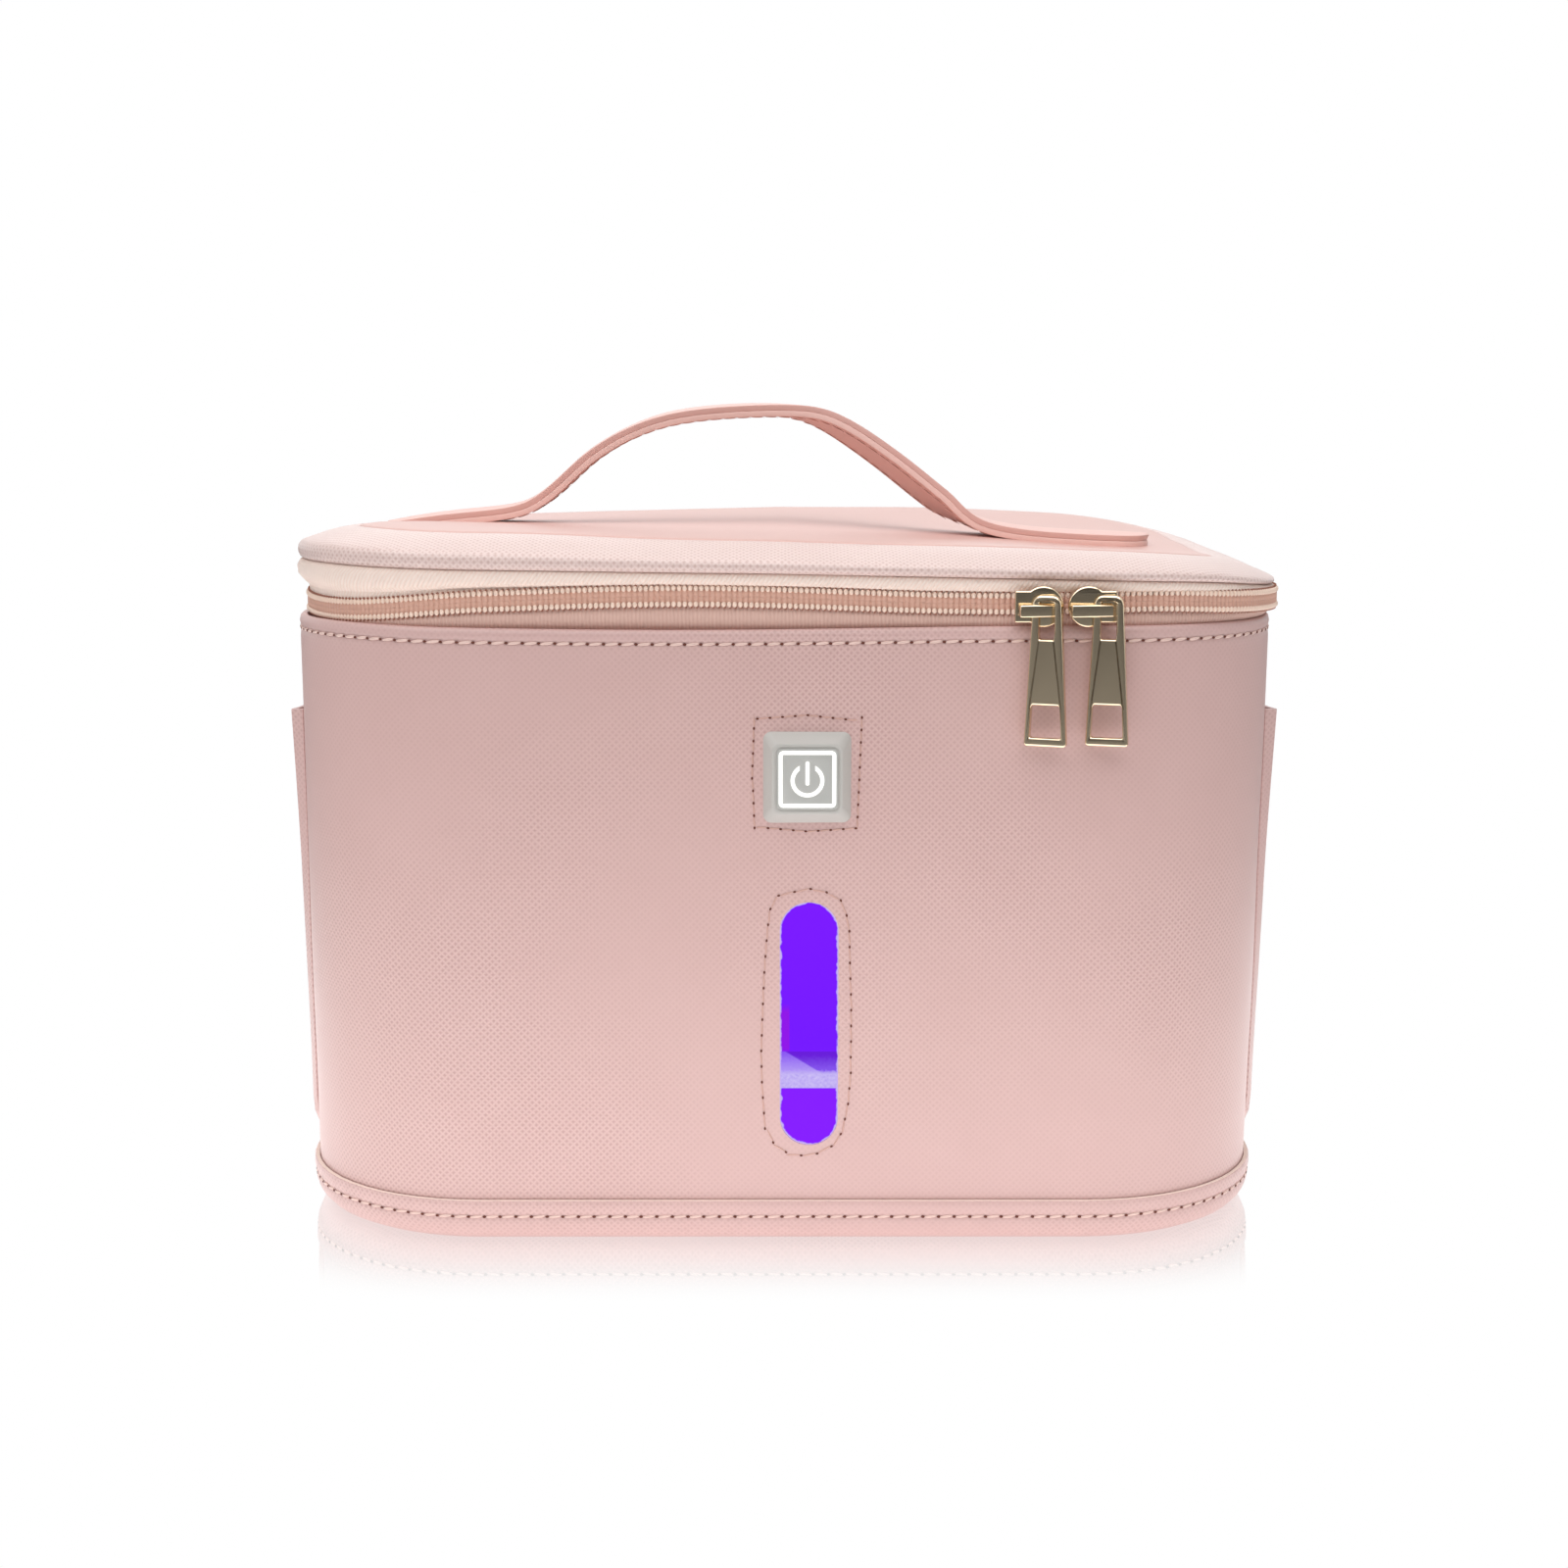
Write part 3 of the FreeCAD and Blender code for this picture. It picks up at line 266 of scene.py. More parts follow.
def move_points(piece, place):
    """Moves each point of a piece to where place puts it."""
    for point in piece.data.vertices:
        point.co = place(point.co.copy())
    piece.data.update()


def tidy_skin(piece, angle=40):
    """Welds a piece, turns its faces outward and shades it smooth up to an angle."""
    pick(piece)
    bpy.ops.object.mode_set(mode="EDIT")
    bpy.ops.mesh.select_all(action="SELECT")
    bpy.ops.mesh.remove_doubles(threshold=0.01 * MM)
    bpy.ops.mesh.normals_make_consistent(inside=False)
    bpy.ops.object.mode_set(mode="OBJECT")
    bpy.ops.object.shade_smooth_by_angle(angle=radians(angle))


def turn_inside_out(piece):
    """Turns the faces of a piece the other way."""
    pick(piece)
    bpy.ops.object.mode_set(mode="EDIT")
    bpy.ops.mesh.select_all(action="SELECT")
    bpy.ops.mesh.flip_normals()
    bpy.ops.object.mode_set(mode="OBJECT")


def flat_faced(piece):
    """Welds and shades a hard piece so that its flat faces stay flat up to their soft edges."""
    tidy_skin(piece, 50)
    shape(piece, "WEIGHTED_NORMAL", weight=100, keep_sharp=True)


def ring(name, inset, height):
    """An edge loop on the plan of the bag, left in edit mode and selected."""
    loop = fresh(bpy.ops.mesh.primitive_plane_add, name, size=2, location=(0, 0, 0))
    bpy.ops.object.mode_set(mode="EDIT")
    bpy.ops.mesh.select_all(action="SELECT")
    bpy.ops.transform.resize(value=(SIDE, BACK, 1))
    bpy.ops.mesh.bevel(
        offset_type="ABSOLUTE", offset=CORNER, segments=CORNER_STEPS, profile=0.5, affect="VERTICES")
    bpy.ops.mesh.delete(type="ONLY_FACE")
    for length, steps in ((2 * RUN, RUN_STEPS), (2 * DEEP, DEEP_STEPS)):
        mesh = bmesh.from_edit_mesh(loop.data)
        for edge in mesh.edges:
            edge.select = abs(edge.calc_length() - length) < 0.5 * MM
        bmesh.update_edit_mesh(loop.data)
        bpy.ops.mesh.subdivide(number_cuts=steps - 1)
    bpy.ops.mesh.select_all(action="SELECT")
    mesh = bmesh.from_edit_mesh(loop.data)
    for point in mesh.verts:
        point.co = point.co - outward(point.co) * inset
        point.co.z = height
    bmesh.update_edit_mesh(loop.data)
    return loop


def band(name, levels, closed=False, middle=False):
    """A skin round the bag, extruded through levels; a level is an inset and a height, in millimetres."""
    inset, height = levels[0]
    skin = ring(name, inset * MM, height * MM)
    for next_inset, next_height in levels[1:] + levels[:1] * closed:
        rise = (next_height - height) * MM
        bpy.ops.mesh.extrude_edges_move(TRANSFORM_OT_translate={"value": (0, 0, rise)})
        mesh = bmesh.from_edit_mesh(skin.data)
        for point in mesh.verts:
            if point.select:
                core = core_of(point.co)
                way = point.co - core
                point.co = core + way * (CORNER - next_inset * MM) / max(CORNER - inset * MM, 0.01 * MM)
        bmesh.update_edit_mesh(skin.data)
        inset, height = next_inset, next_height
    if middle:
        bpy.ops.mesh.primitive_grid_add(
            x_subdivisions=RUN_STEPS, y_subdivisions=DEEP_STEPS, size=2, location=(0, 0, height * MM))
        bpy.ops.transform.resize(value=(RUN, DEEP, 1))
    bpy.ops.object.mode_set(mode="OBJECT")
    tidy_skin(skin)
    return skin


def wrap(piece):
    """Lays the grain on a piece in metres: round the bag on its sides, flat on its top and bottom."""
    mesh = piece.data
    cloth = mesh.uv_layers.new(name="wrap")
    for face in mesh.polygons:
        flat = abs(face.normal.z) > 0.75
        hand = 1 if face.center.x >= 0 else -1
        for corner in face.loop_indices:
            point = mesh.vertices[mesh.loops[corner].vertex_index].co
            cloth.data[corner].uv = (point.x, point.y) if flat else (hand * along_plan(point), point.z)


def rippled(point):
    """A point of the lining, lifted a little along the way out in slow waves."""
    return point + outward(point) * 0.3 * MM * noise.noise(point / (16 * MM))


def copies(name, unit, places):
    """Copies of a small model set at each place and joined; the model itself goes."""
    made = []
    for place in places:
        copy = unit.copy()
        copy.data = unit.data.copy()
        copy.data.transform(place)
        bpy.context.collection.objects.link(copy)
        made.append(copy)
    pick(*made)
    bpy.ops.object.join()
    row = bpy.context.object
    row.name = name
    bpy.data.objects.remove(unit)
    return row


def stand(spot, along, out):
    """The place for a small model: its X runs along, its Y points out."""
    across = along.cross(out)
    turn = Matrix((along, out, across)).transposed().to_4x4()
    return Matrix.Translation(spot) @ turn


def round_the_bag(inset, height, pitch, start, end, settle=None):
    """Places for a row of small models round the bag."""
    count = round((end - start) / pitch)
    places = []
    for step in range(count):
        spot, way = on_plan(start + (end - start) * (step + 0.5) / count, inset, height)
        if settle:
            spot = spot + settle(spot)
        places.append(stand(spot, Vector((-way.y, way.x, 0)), way))
    return places


def rounded(corners, softness):
    """The points of a flat loop with its corners made round."""
    points = []
    for number, (corner, soft) in enumerate(zip(corners, softness)):
        before = (corners[number - 1] - corner).normalized()
        after = (corners[(number + 1) % len(corners)] - corner).normalized()
        half = before.angle(after) / 2
        middle = corner + (before + after).normalized() * soft / sin(half)
        start = corner + before * soft / tan(half) - middle
        end = corner + after * soft / tan(half) - middle
        for step in range(ROUND_STEPS + 1):
            points.append(middle + start.slerp(end, step / ROUND_STEPS).normalized() * soft)
    return points


def plate(name, loops, thickness, soft):
    """An upright plate with holes and soft edges, its middle at y = 0; a loop holds X and Z."""
    curve = bpy.data.curves.new(name, "CURVE")
    curve.dimensions = "2D"
    curve.fill_mode = "BOTH"
    for loop in loops:
        spline = curve.splines.new("POLY")
        spline.points.add(len(loop) - 1)
        for knot, point in zip(spline.points, loop):
            knot.co = (point[0], point[1], 0, 1)
        spline.use_cyclic_u = True
    made = bpy.data.objects.new(name, curve)
    bpy.context.collection.objects.link(made)
    pick(made)
    bpy.ops.object.convert(target="MESH")
    made = bpy.context.object
    made.data.transform(Matrix.Rotation(pi / 2, 4, "X"))
    shape(made, "SOLIDIFY", thickness=thickness, offset=0)
    shape(
        made, "BEVEL", width=soft, segments=3, limit_method="ANGLE", angle_limit=radians(50),
        use_clamp_overlap=False)
    flat_faced(made)
    return made


def distances(points):
    """How far along a line each of its points lies."""
    gone = [0]
    for start, end in zip(points, points[1:]):
        gone.append(gone[-1] + (end - start).length)
    return gone


def along_line(points, gone, reached):
    """The place at a distance along a line, and the way it runs there."""
    step = 0
    while step < len(points) - 2 and gone[step + 1] < reached:
        step += 1
    way = (points[step + 1] - points[step]).normalized()
    return points[step] + way * (reached - gone[step]), way


def along_front(points, pitch, proud):
    """Places for a row of small models along a line on the front wall."""
    gone = distances(points)
    count = round(gone[-1] / pitch)
    places = []
    for number in range(count):
        spot, way = along_line(points, gone, gone[-1] * (number + 0.5) / count)
        places.append(stand(wall_lie(spot) + Vector((0, -proud, 0)), way, Vector((0, -1, 0))))
    return places


# Materials


def linear(code):
    """A colour written in hexadecimal as linear light."""
    parts = [int(code[step:step + 2], 16) / 255 for step in (0, 2, 4)]
    return [part / 12.92 if part <= 0.04045 else ((part + 0.055) / 1.055) ** 2.4 for part in parts] + [1]


def add(tree, kind, sockets, **settings):
    """Adds a node with its settings; each socket gets a value or a link."""
    made = tree.nodes.new("ShaderNode" + kind)
    for key, value in settings.items():
        setattr(made, key, value)
    for key, value in sockets.items():
        if isinstance(value, bpy.types.NodeSocket):
            tree.links.new(value, made.inputs[key])
        else:
            made.inputs[key].default_value = value
    return made


def material(name, colour=None, **values):
    """A new material with a colour and other values for its surface."""
    made = bpy.data.materials.new(name)
    made.use_nodes = True
    surface = made.node_tree.nodes["Principled BSDF"]
    if colour:
        values["base_color"] = linear(colour)
    for key, value in values.items():
        surface.inputs[key.replace("_", " ").title().replace("Ior", "IOR")].default_value = value
    return made


def stripes(pitch):
    """The scale at which a wave texture repeats at a pitch."""
    return 2 * pi / (20 * pitch)


# Mean height of crossed ridges, which worn patches settle to; sizes of worn patches and of painted ridge
# highlights
MEAN_RIDGE = 0.7
WEAR_PATCH = 1000 / 11 * MM
GLINT_PATCH = 50 / 3 * MM


def grained(name, colour, ridge_highlight_colour, pitch, turns, height, blur, wear=0, **values):
    """A material with fine ridges at some turns along the cloth or leather, flatter in worn patches, with a
    painted highlight: ridge tops lighter in patches.
    """
    made = material(name, **values)
    tree = made.node_tree
    surface = tree.nodes["Principled BSDF"]
    place = add(tree, "UVMap", {}, uv_map="wrap").outputs["UV"]
    ridges = None
    for turn in turns:
        turned = add(tree, "Mapping", {"Vector": place, "Rotation": (0, 0, radians(turn))})
        wave = add(tree, "TexWave", {
            "Vector": turned.outputs["Vector"], "Scale": stripes(pitch), "Distortion": blur,
            "Detail": 2, "Detail Scale": 0.8}).outputs["Fac"]
        if ridges:
            wave = add(tree, "Math", {0: ridges, 1: wave}, operation="MAXIMUM").outputs[0]
        ridges = wave
    broad = add(tree, "TexNoise", {"Vector": place, "Scale": 1 / WEAR_PATCH, "Detail": 1})
    kept = add(tree, "MapRange", {
        "Value": broad.outputs["Fac"], "From Min": 0.4, "From Max": 0.62, "To Min": 1 - wear, "To Max": 1})
    ridges = add(tree, "Mix", {
        "Factor": kept.outputs["Result"], "A": MEAN_RIDGE, "B": ridges}).outputs["Result"]
    # Lighter ridge tops in patches: a painted highlight standing in for the glint of light on the ridges.
    cloud = add(tree, "TexNoise", {"Vector": place, "Scale": 1 / GLINT_PATCH, "Detail": 3})
    patchy = add(tree, "MapRange", {"Value": cloud.outputs["Fac"], "To Min": 0.42, "To Max": 0.58})
    glint_share = add(tree, "Math", {0: patchy.outputs["Result"], 1: ridges}, operation="MULTIPLY").outputs[0]
    ridge_highlight = add(tree, "Mix", {
        "Factor": glint_share, "A": linear(colour), "B": linear(ridge_highlight_colour)}, data_type="RGBA")
    tree.links.new(ridge_highlight.outputs["Result"], surface.inputs["Base Color"])
    bump = add(tree, "Bump", {"Height": ridges, "Distance": height, "Strength": 0.6})
    tree.links.new(bump.outputs["Normal"], surface.inputs["Normal"])
    return made


# The hatch of the leather: near one millimetre, drawn a little coarser
HATCH = (1.15 * MM, (45, -45), 0.14 * MM, 1.5)
# Embossed leather: slanting cross-hatch with a painted highlight on its ridges, fading in patches, with a
# pearly bloom.
PINK_LEATHER = grained(
    "pink_crosshatch_leather", "C39C97", "EACBC7", *HATCH,
    wear=0.75, roughness=0.42, coat_weight=0.12, coat_roughness=0.35)
# The same leather over the roll of the lid, more pearly, and paler with painted sheen for the light it
# catches from behind.
LID_SHEEN_LEATHER = grained(
    "pearl_pink_crosshatch_leather_painted_sheen", "CFB0A9", "FDEBE6", *HATCH,
    roughness=0.38, coat_weight=0.25, coat_roughness=0.3)
# Smooth pink leather of the lid's top panel and the hinge, with a soft shine and a fine pore.
PLAIN_LEATHER = grained(
    "pink_smooth_leather", "D5AAA1", "DEB7AF", 0.7 * MM, (30, -40), 0.04 * MM, 4.0,
    roughness=0.40, coat_weight=0.1, coat_roughness=0.3)
# The underside of the handle, a paler skin of the same leather.
BACKING_LEATHER = material("pale_pink_backing_leather", "F6CDC3", roughness=0.5)
# The top of the handle, smooth and softly shining.
STRAP_LEATHER = material(
    "pink_strap_leather", "E6B8AE", roughness=0.42, coat_weight=0.1, coat_roughness=0.3)
# The cut edge of the leather, pale and dry.
CUT_EDGE = material("leather_cut_edge", "F6E2D6", roughness=0.7)
# Woven zip tape: a ribbed peach cloth with a dry face.
TAPE_CLOTH = grained(
    "peach_zip_tape", "F6DDD0", "FFF3EA", 0.9 * MM, (35,), 0.15 * MM, 0.8, roughness=0.85, sheen_weight=0.15)
# The lower tape, in the shade of the lid: the same cloth, darker and pinker as painted shade.
SHADED_LOW_TAPE_CLOTH = grained(
    "peach_lower_tape_painted_shade", "D6AEA1", "E6C4B7", 0.9 * MM, (0,), 0.15 * MM, 0.8, roughness=0.85, sheen_weight=0.1)
# Nylon coil: salmon brown with a small waxy glint.
COIL_NYLON = material("salmon_nylon_coil", "D9AA97", roughness=0.5)
# Sewing thread of the zip: cream strands that look like pearls.
PEARL_THREAD = material("cream_zip_thread", "F6DCCB", roughness=0.55)
# Pink sewing thread, twisted, with a slight lustre.
THREAD = material("pale_pink_thread", "E6C8BE", roughness=0.5)
# Rose thread of the small seams, close to the leather and without lustre.
DULL_THREAD = material("rose_tan_thread", "CFA79B", roughness=0.6)
# Needle holes: painted shade, a dark disc where each hole sinks into the leather.
NEEDLE_HOLE_SHADE = material("needle_hole_shadow", "6A3C32", roughness=0.9)
# Needle holes of the zip: a soft brown dot of painted shade beside each pearl.
COIL_HOLE_SHADE = material("zip_hole_shadow", "A87462", roughness=0.9)
# Plated zinc: pale champagne gold with a soft polish.
GOLD = material("champagne_plated_zinc", "EBD8BA", metallic=1, roughness=0.14)
# Moulded grey plastic of the button, fine matt.
BUTTON_GREY = material("grey_moulded_plastic", "BFBCB7", roughness=0.42)
# The key: the same plastic, a little cooler and smoother.
KEY_GREY = material("light_grey_key_plastic", "B9B9B5", roughness=0.4)
# Milk-white light guide: the lit line and sign on the key, just brighter than white plastic.
LIGHT_GUIDE = material(
    "milk_white_light_guide", "FAFAF6", roughness=0.3,
    emission_color=linear("FFFFFF"), emission_strength=0.25)
# Metallised film: crinkled silver with broad glints.
FOIL = material("silver_foil_film", "BFBFC0", metallic=0.85, roughness=0.32)
# Binding cloth of the mouth: a dry, flat pink.
BINDING = material("pink_binding_cloth", "E6BFB4", roughness=0.75)
# Inner plastic: plain mid grey with a dull shine.
DARK_PLASTIC = material("grey_inner_plastic", "8C8C8C", roughness=0.5)
# Nickel-plated steel: cool grey metal with a blurred shine.
SOCKET_STEEL = material("nickel_steel", "B8B8BA", metallic=1, roughness=0.3)
# Circuit board with white lacquer: smooth and faintly glossy.
BOARD = material("white_circuit_board", "E9ECEA", roughness=0.4)
# Component epoxy: near black and half matt.
DRIVER_PARTS = material("black_component_epoxy", "2C2C2E", roughness=0.5)
# Clear cover over the emitters: glassy, with a trace of blue.
CLEAR_COVER = material(
    "clear_cover_plastic", "F4F6FF", roughness=0.08, transmission_weight=0.85, ior=1.45)
# Emitters: pale violet dots that glow a little.
EMITTER = material(
    "violet_emitter", "D8C8FF", roughness=0.3,
    emission_color=linear("8A3CFF"), emission_strength=0.6)
# Flat lead: off-white film with a satin face.
LEAD_FILM = material("white_flat_lead", "E8E4DE", roughness=0.5)


def foil_creases(made):
    """Gives the film its crinkles: a mesh of soft facets some millimetres across."""
    tree = made.node_tree
    place = add(tree, "TexCoord", {})
    facets = add(tree, "TexVoronoi", {"Vector": place.outputs["Object"], "Scale": 1 / (6 * MM)}, feature="F1")
    drift = add(tree, "TexNoise", {"Vector": place.outputs["Object"], "Scale": 1 / (14 * MM), "Detail": 4})
    both = add(tree, "Math", {0: facets.outputs["Distance"], 1: drift.outputs["Fac"]}, operation="ADD")
    bump = add(tree, "Bump", {"Height": both.outputs[0], "Distance": 0.6 * MM, "Strength": 0.3})
    tree.links.new(bump.outputs["Normal"], tree.nodes["Principled BSDF"].inputs["Normal"])


foil_creases(FOIL)


def glowing_window():
    """The window's light: deep violet, with a lavender wedge and a speckled band low down."""
    made = material("violet_light_window", "14002C", roughness=0.5, specular_ior_level=0.1)
    tree = made.node_tree
    surface = tree.nodes["Principled BSDF"]
    place = add(tree, "TexCoord", {}).outputs["Object"]
    axes = add(tree, "SeparateXYZ", {"Vector": place})
    past = add(tree, "VectorMath", {0: place, 1: WINDOW_MID}, operation="SUBTRACT")
    off = add(tree, "SeparateXYZ", {"Vector": past.outputs[0]})
    speckle = add(tree, "TexNoise", {"Vector": place, "Scale": 1 / (0.7 * MM), "Detail": 2})
    drift = add(tree, "TexNoise", {"Vector": place, "Scale": 1 / (2.2 * MM), "Detail": 4})
    known = {
        "across": axes.outputs["X"], "up": axes.outputs["Z"], "aside": off.outputs["X"],
        "above": off.outputs["Z"], "speckle": speckle.outputs["Fac"], "drift": drift.outputs["Fac"]}
    # A height stirred by the speckle, the slope of the wedge, and a ragged distance from the middle line
    for name, operation, first, second in (
            ("stir", "MULTIPLY", "speckle", 1.6 * MM), ("stirred", "ADD", "up", "stir"),
            ("tilt", "MULTIPLY", "across", 0.62), ("slope", "ADD", "up", "tilt"),
            ("above", "ABSOLUTE", "above", 0), ("above", "SUBTRACT", "above", WINDOW_HALF.z - WINDOW_HALF.x),
            ("above", "MAXIMUM", "above", 0), ("above", "POWER", "above", 2),
            ("aside", "ABSOLUTE", "aside", 0), ("aside", "POWER", "aside", 2),
            ("reach", "ADD", "aside", "above"), ("reach", "SQRT", "reach", 0),
            ("drift", "SUBTRACT", "drift", 0.5), ("drift", "MULTIPLY", "drift", 1.6 * MM),
            ("ragged", "ADD", "reach", "drift")):
        sockets = {0: known.get(first, first), 1: known.get(second, second)}
        known[name] = add(tree, "Math", sockets, operation=operation).outputs[0]
    # Each layer: where it starts and where it is full, in millimetres, and what lies under and over there
    edge = WINDOW_HALF.x / MM
    for name, masks, *tones in (
            ("violet", [("up", 84, 50)], "7A10FF", "7208FF"),
            ("striped", [("across", 1.9, 1.7), ("up", 60, 58), ("up", 47, 49)], "violet", "8E06E8"),
            ("dusk", [("stirred", 48, 43.6)], "6410D8", "8A5CF0"),
            ("lavender", [("stirred", 48.5, 43.8)], "8A58F2", "B49CF4"),
            ("wedge", [("slope", 48.9, 48.5)], "dusk", "lavender"),
            ("lower", [("up", 48.3, 48.1)], "striped", "wedge"),
            ("specks", [("speckle", 0, 1 / MM)], "A890EC", "DCD2FA"),
            ("banded", [("stirred", 44.4, 43.4)], "lower", "specks"),
            ("footed", [("up", 39.2, 39.0)], "banded", "8410FF"),
            ("edged", [("ragged", edge - 0.45, edge - 0.2)], "footed", "C9B4F4")):
        share = 1.0
        for value, low, high in masks:
            part = add(tree, "MapRange", {"Value": known[value], "From Min": low * MM, "From Max": high * MM})
            share = add(tree, "Math", {0: part.outputs["Result"], 1: share}, operation="MULTIPLY").outputs[0]
        under, over = (known.get(tone) or linear(tone) for tone in tones)
        blend = add(tree, "Mix", {"Factor": share, "A": under, "B": over}, data_type="RGBA")
        known[name] = blend.outputs["Result"]
    tree.links.new(known["edged"], surface.inputs["Emission Color"])
    surface.inputs["Emission Strength"].default_value = 0.97
    return made


WINDOW_HALF = Vector((7, 0, 30)) * MM
WINDOW_MID = (WINDOW_LENS[0] + WINDOW_LENS[1]) / 2
WINDOW_MID.y = FRONT
WINDOW_GLOW = glowing_window()


def dress(piece, *looks):
    """Gives a piece its materials in order."""
    piece.data.materials.clear()
    for look in looks:
        piece.data.materials.append(look)


def stand_in(piece, body, slot, *nodes):
    """Makes a piece ride on a body in place of CAD nodes; the colour slot is not used."""
    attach(piece, body)
    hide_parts(*nodes)


# Body: wall, base and pockets

WALL_LEVELS = [(1.6, 6.0), (0.8, 6.0), (0, 7.0), (0, 12)] + [(0, height) for height in range(20, 142, 8)] + [
    (0, 145), (0.1, 146.3), (0.45, 147.1), (0.1, 147.9), (-0.1, 148.9), (0.1, 149.8), (0.6, 150.35),
    (1.2, 150.5), (1.8, 150.3), (2.2, 149.6), (2.2, 146), (1.6, 140), (1.6, 74)]

wall = band("wall_leather", WALL_LEVELS, closed=True)


def wall_lie(point):
    """The wall's slow waves, less near its foot, and the lie of its rim."""
    loose = eased(point.z, 12 * MM, 60 * MM)
    lift = eased(point.z, 135 * MM, RIM) * eased(point.y, -40 * MM, -80 * MM)
    wave = -RIM_WAVE * cos(2 * pi * (point.x - RIM_WAVE_PEAK) / RIM_WAVE_LENGTH) * lift
    high = part_of(point.z, 12 * MM, RIM)
    flare = lean(point, WALL_LEAN_RIGHT * high) - WALL_LEAN_LEFT * high * eased(-point.x, 60 * MM, SIDE)
    point = point + outward(point) * WALL_SWELL * loose * noise.noise(point / (45 * MM))
    return point + Vector((flare, 0, wave))


def wall_shift(point):
    """The shift of the wall at a point."""
    return wall_lie(point) - point


move_points(wall, wall_lie)


def cut_hole(piece, low, high, soften):
    """Cuts a box with round corners through a piece."""
    cutter = fresh(bpy.ops.mesh.primitive_cube_add, size=1, location=(low + high) / 2)
    cutter.scale = high - low
    bpy.ops.object.transform_apply(location=True, rotation=False, scale=True)
    bpy.ops.object.mode_set(mode="EDIT")
    mesh = bmesh.from_edit_mesh(cutter.data)
    for edge in mesh.edges:
        edge.select = abs((edge.verts[0].co - edge.verts[1].co).normalized().y) > 0.9
    bmesh.update_edit_mesh(cutter.data)
    bpy.ops.mesh.bevel(offset=soften, segments=10, affect="EDGES")
    bpy.ops.object.mode_set(mode="OBJECT")
    shape(piece, "BOOLEAN", object=cutter, operation="DIFFERENCE", solver="EXACT")
    bpy.data.objects.remove(cutter)


HOLE_DEPTH = Vector((0, 5, 0)) * MM
cut_hole(wall, WINDOW_MID - WINDOW_HALF - HOLE_DEPTH, WINDOW_MID + WINDOW_HALF + HOLE_DEPTH, 6.9 * MM)
BUTTON_SEAT = Vector((9.7, 5, 9.7)) * MM
BUTTON_MID = Vector((BUTTON_X, FRONT, BUTTON_Z))
cut_hole(wall, BUTTON_MID - BUTTON_SEAT, BUTTON_MID + BUTTON_SEAT, 1 * MM)
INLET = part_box("power_inlet")
INLET_ROOM = Vector((1, 5, 1)) * MM
cut_hole(wall, INLET[0] - INLET_ROOM, INLET[1] + INLET_ROOM, 1 * MM)
tidy_skin(wall, 35)
wrap(wall)
dress(wall, PINK_LEATHER)
stand_in(wall, "bag_body", "pink_leather", "outer_wall", "wall_foam")

BASE_LEVELS = [
    (0.1, 6), (0.05, 10.8), (-0.2, 11.3), (-1.15, 11.3), (-1.4, 10.9), (-1.4, 9.4), (-1.15, 8.1),
    (-0.75, 7.3), (-1.1, 6.5), (-0.9, 5.2), (-0.2, 3.6), (1.4, 1.8), (4.2, 0.4), (8, 0), (20, 0), (34, 0),
    (46, 0)]
base = band("base_leather", BASE_LEVELS, middle=True)
wrap(base)
dress(base, PINK_LEATHER, CUT_EDGE)
for face in base.data.polygons:
    if face.normal.z > 0.9 and face.center.z > TRAY_LIP - 0.2 * MM:
        face.material_index = 1
stand_in(base, "bag_body", "pink_leather", "base_tray", "base_foam", "base_board")

POCKET_LOW, POCKET_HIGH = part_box("left_pocket")
POCKET_GAPE = 2.2 * MM
POCKET_STAND = 1.6 * MM
POCKET_SKIN = 1.3 * MM


def side_pocket(name, hand):
    """A slip pocket: a sheet sewn down at three sides, standing off at its mouth."""
    pocket = fresh(bpy.ops.mesh.primitive_grid_add, name, x_subdivisions=24, y_subdivisions=24, size=2)
    half = (POCKET_HIGH.y - POCKET_LOW.y) / 2

    def place(point):
        height = POCKET_LOW.z + (POCKET_HIGH.z - POCKET_LOW.z) * (point.y + 1) / 2
        open_share = part_of(height, POCKET_LOW.z, POCKET_HIGH.z) ** 2 * (1 - abs(point.x) ** 20)
        stand_off = POCKET_STAND * (1 - max(abs(point.x), -point.y) ** 30)
        out = SIDE + 0.2 * MM + POCKET_SKIN / 2 + stand_off + POCKET_GAPE * open_share
        reach = half - 7 * MM * max(abs(point.x) - 0.85, 0) * max(-point.y - 0.85, 0) * 40
        sag = -2.2 * MM * (1 - point.x ** 2) * eased(point.y, 0.5, 1)
        along = point.x * reach
        bend = max(abs(along) - DEEP, 0) ** 2 / (2 * CORNER)
        spot = Vector((hand * (out - bend), along, height + sag))
        return spot + wall_shift(Vector((hand * SIDE, along, height)))

    move_points(pocket, place)
    shape(pocket, "SOLIDIFY", thickness=POCKET_SKIN, offset=0)
    shape(pocket, "BEVEL", width=0.45 * MM, segments=3, limit_method="ANGLE")
    tidy_skin(pocket, 60)
    wrap(pocket)
    dress(pocket, PINK_LEATHER)
    stand_in(pocket, "bag_body", "pink_leather", name.replace("_leather", ""))


side_pocket("left_pocket_leather", -1)
side_pocket("right_pocket_leather", 1)

# Lining

INSET, BED = LINING_INSET / MM, LINING_FLOOR / MM - 0.1
lining = band("foil_lining", [
    (INSET - 0.2, MOUTH / MM + 1), *((INSET, height) for height in (130, 110, 90, 70, 50, 30, 14)),
    (INSET + 1.2, 10), (INSET + 4, BED), (20, BED), (34, BED), (46, BED)], middle=True)
move_points(lining, rippled)
turn_inside_out(lining)
dress(lining, FOIL)
stand_in(lining, "bag_body", "foil", "foil_liner")

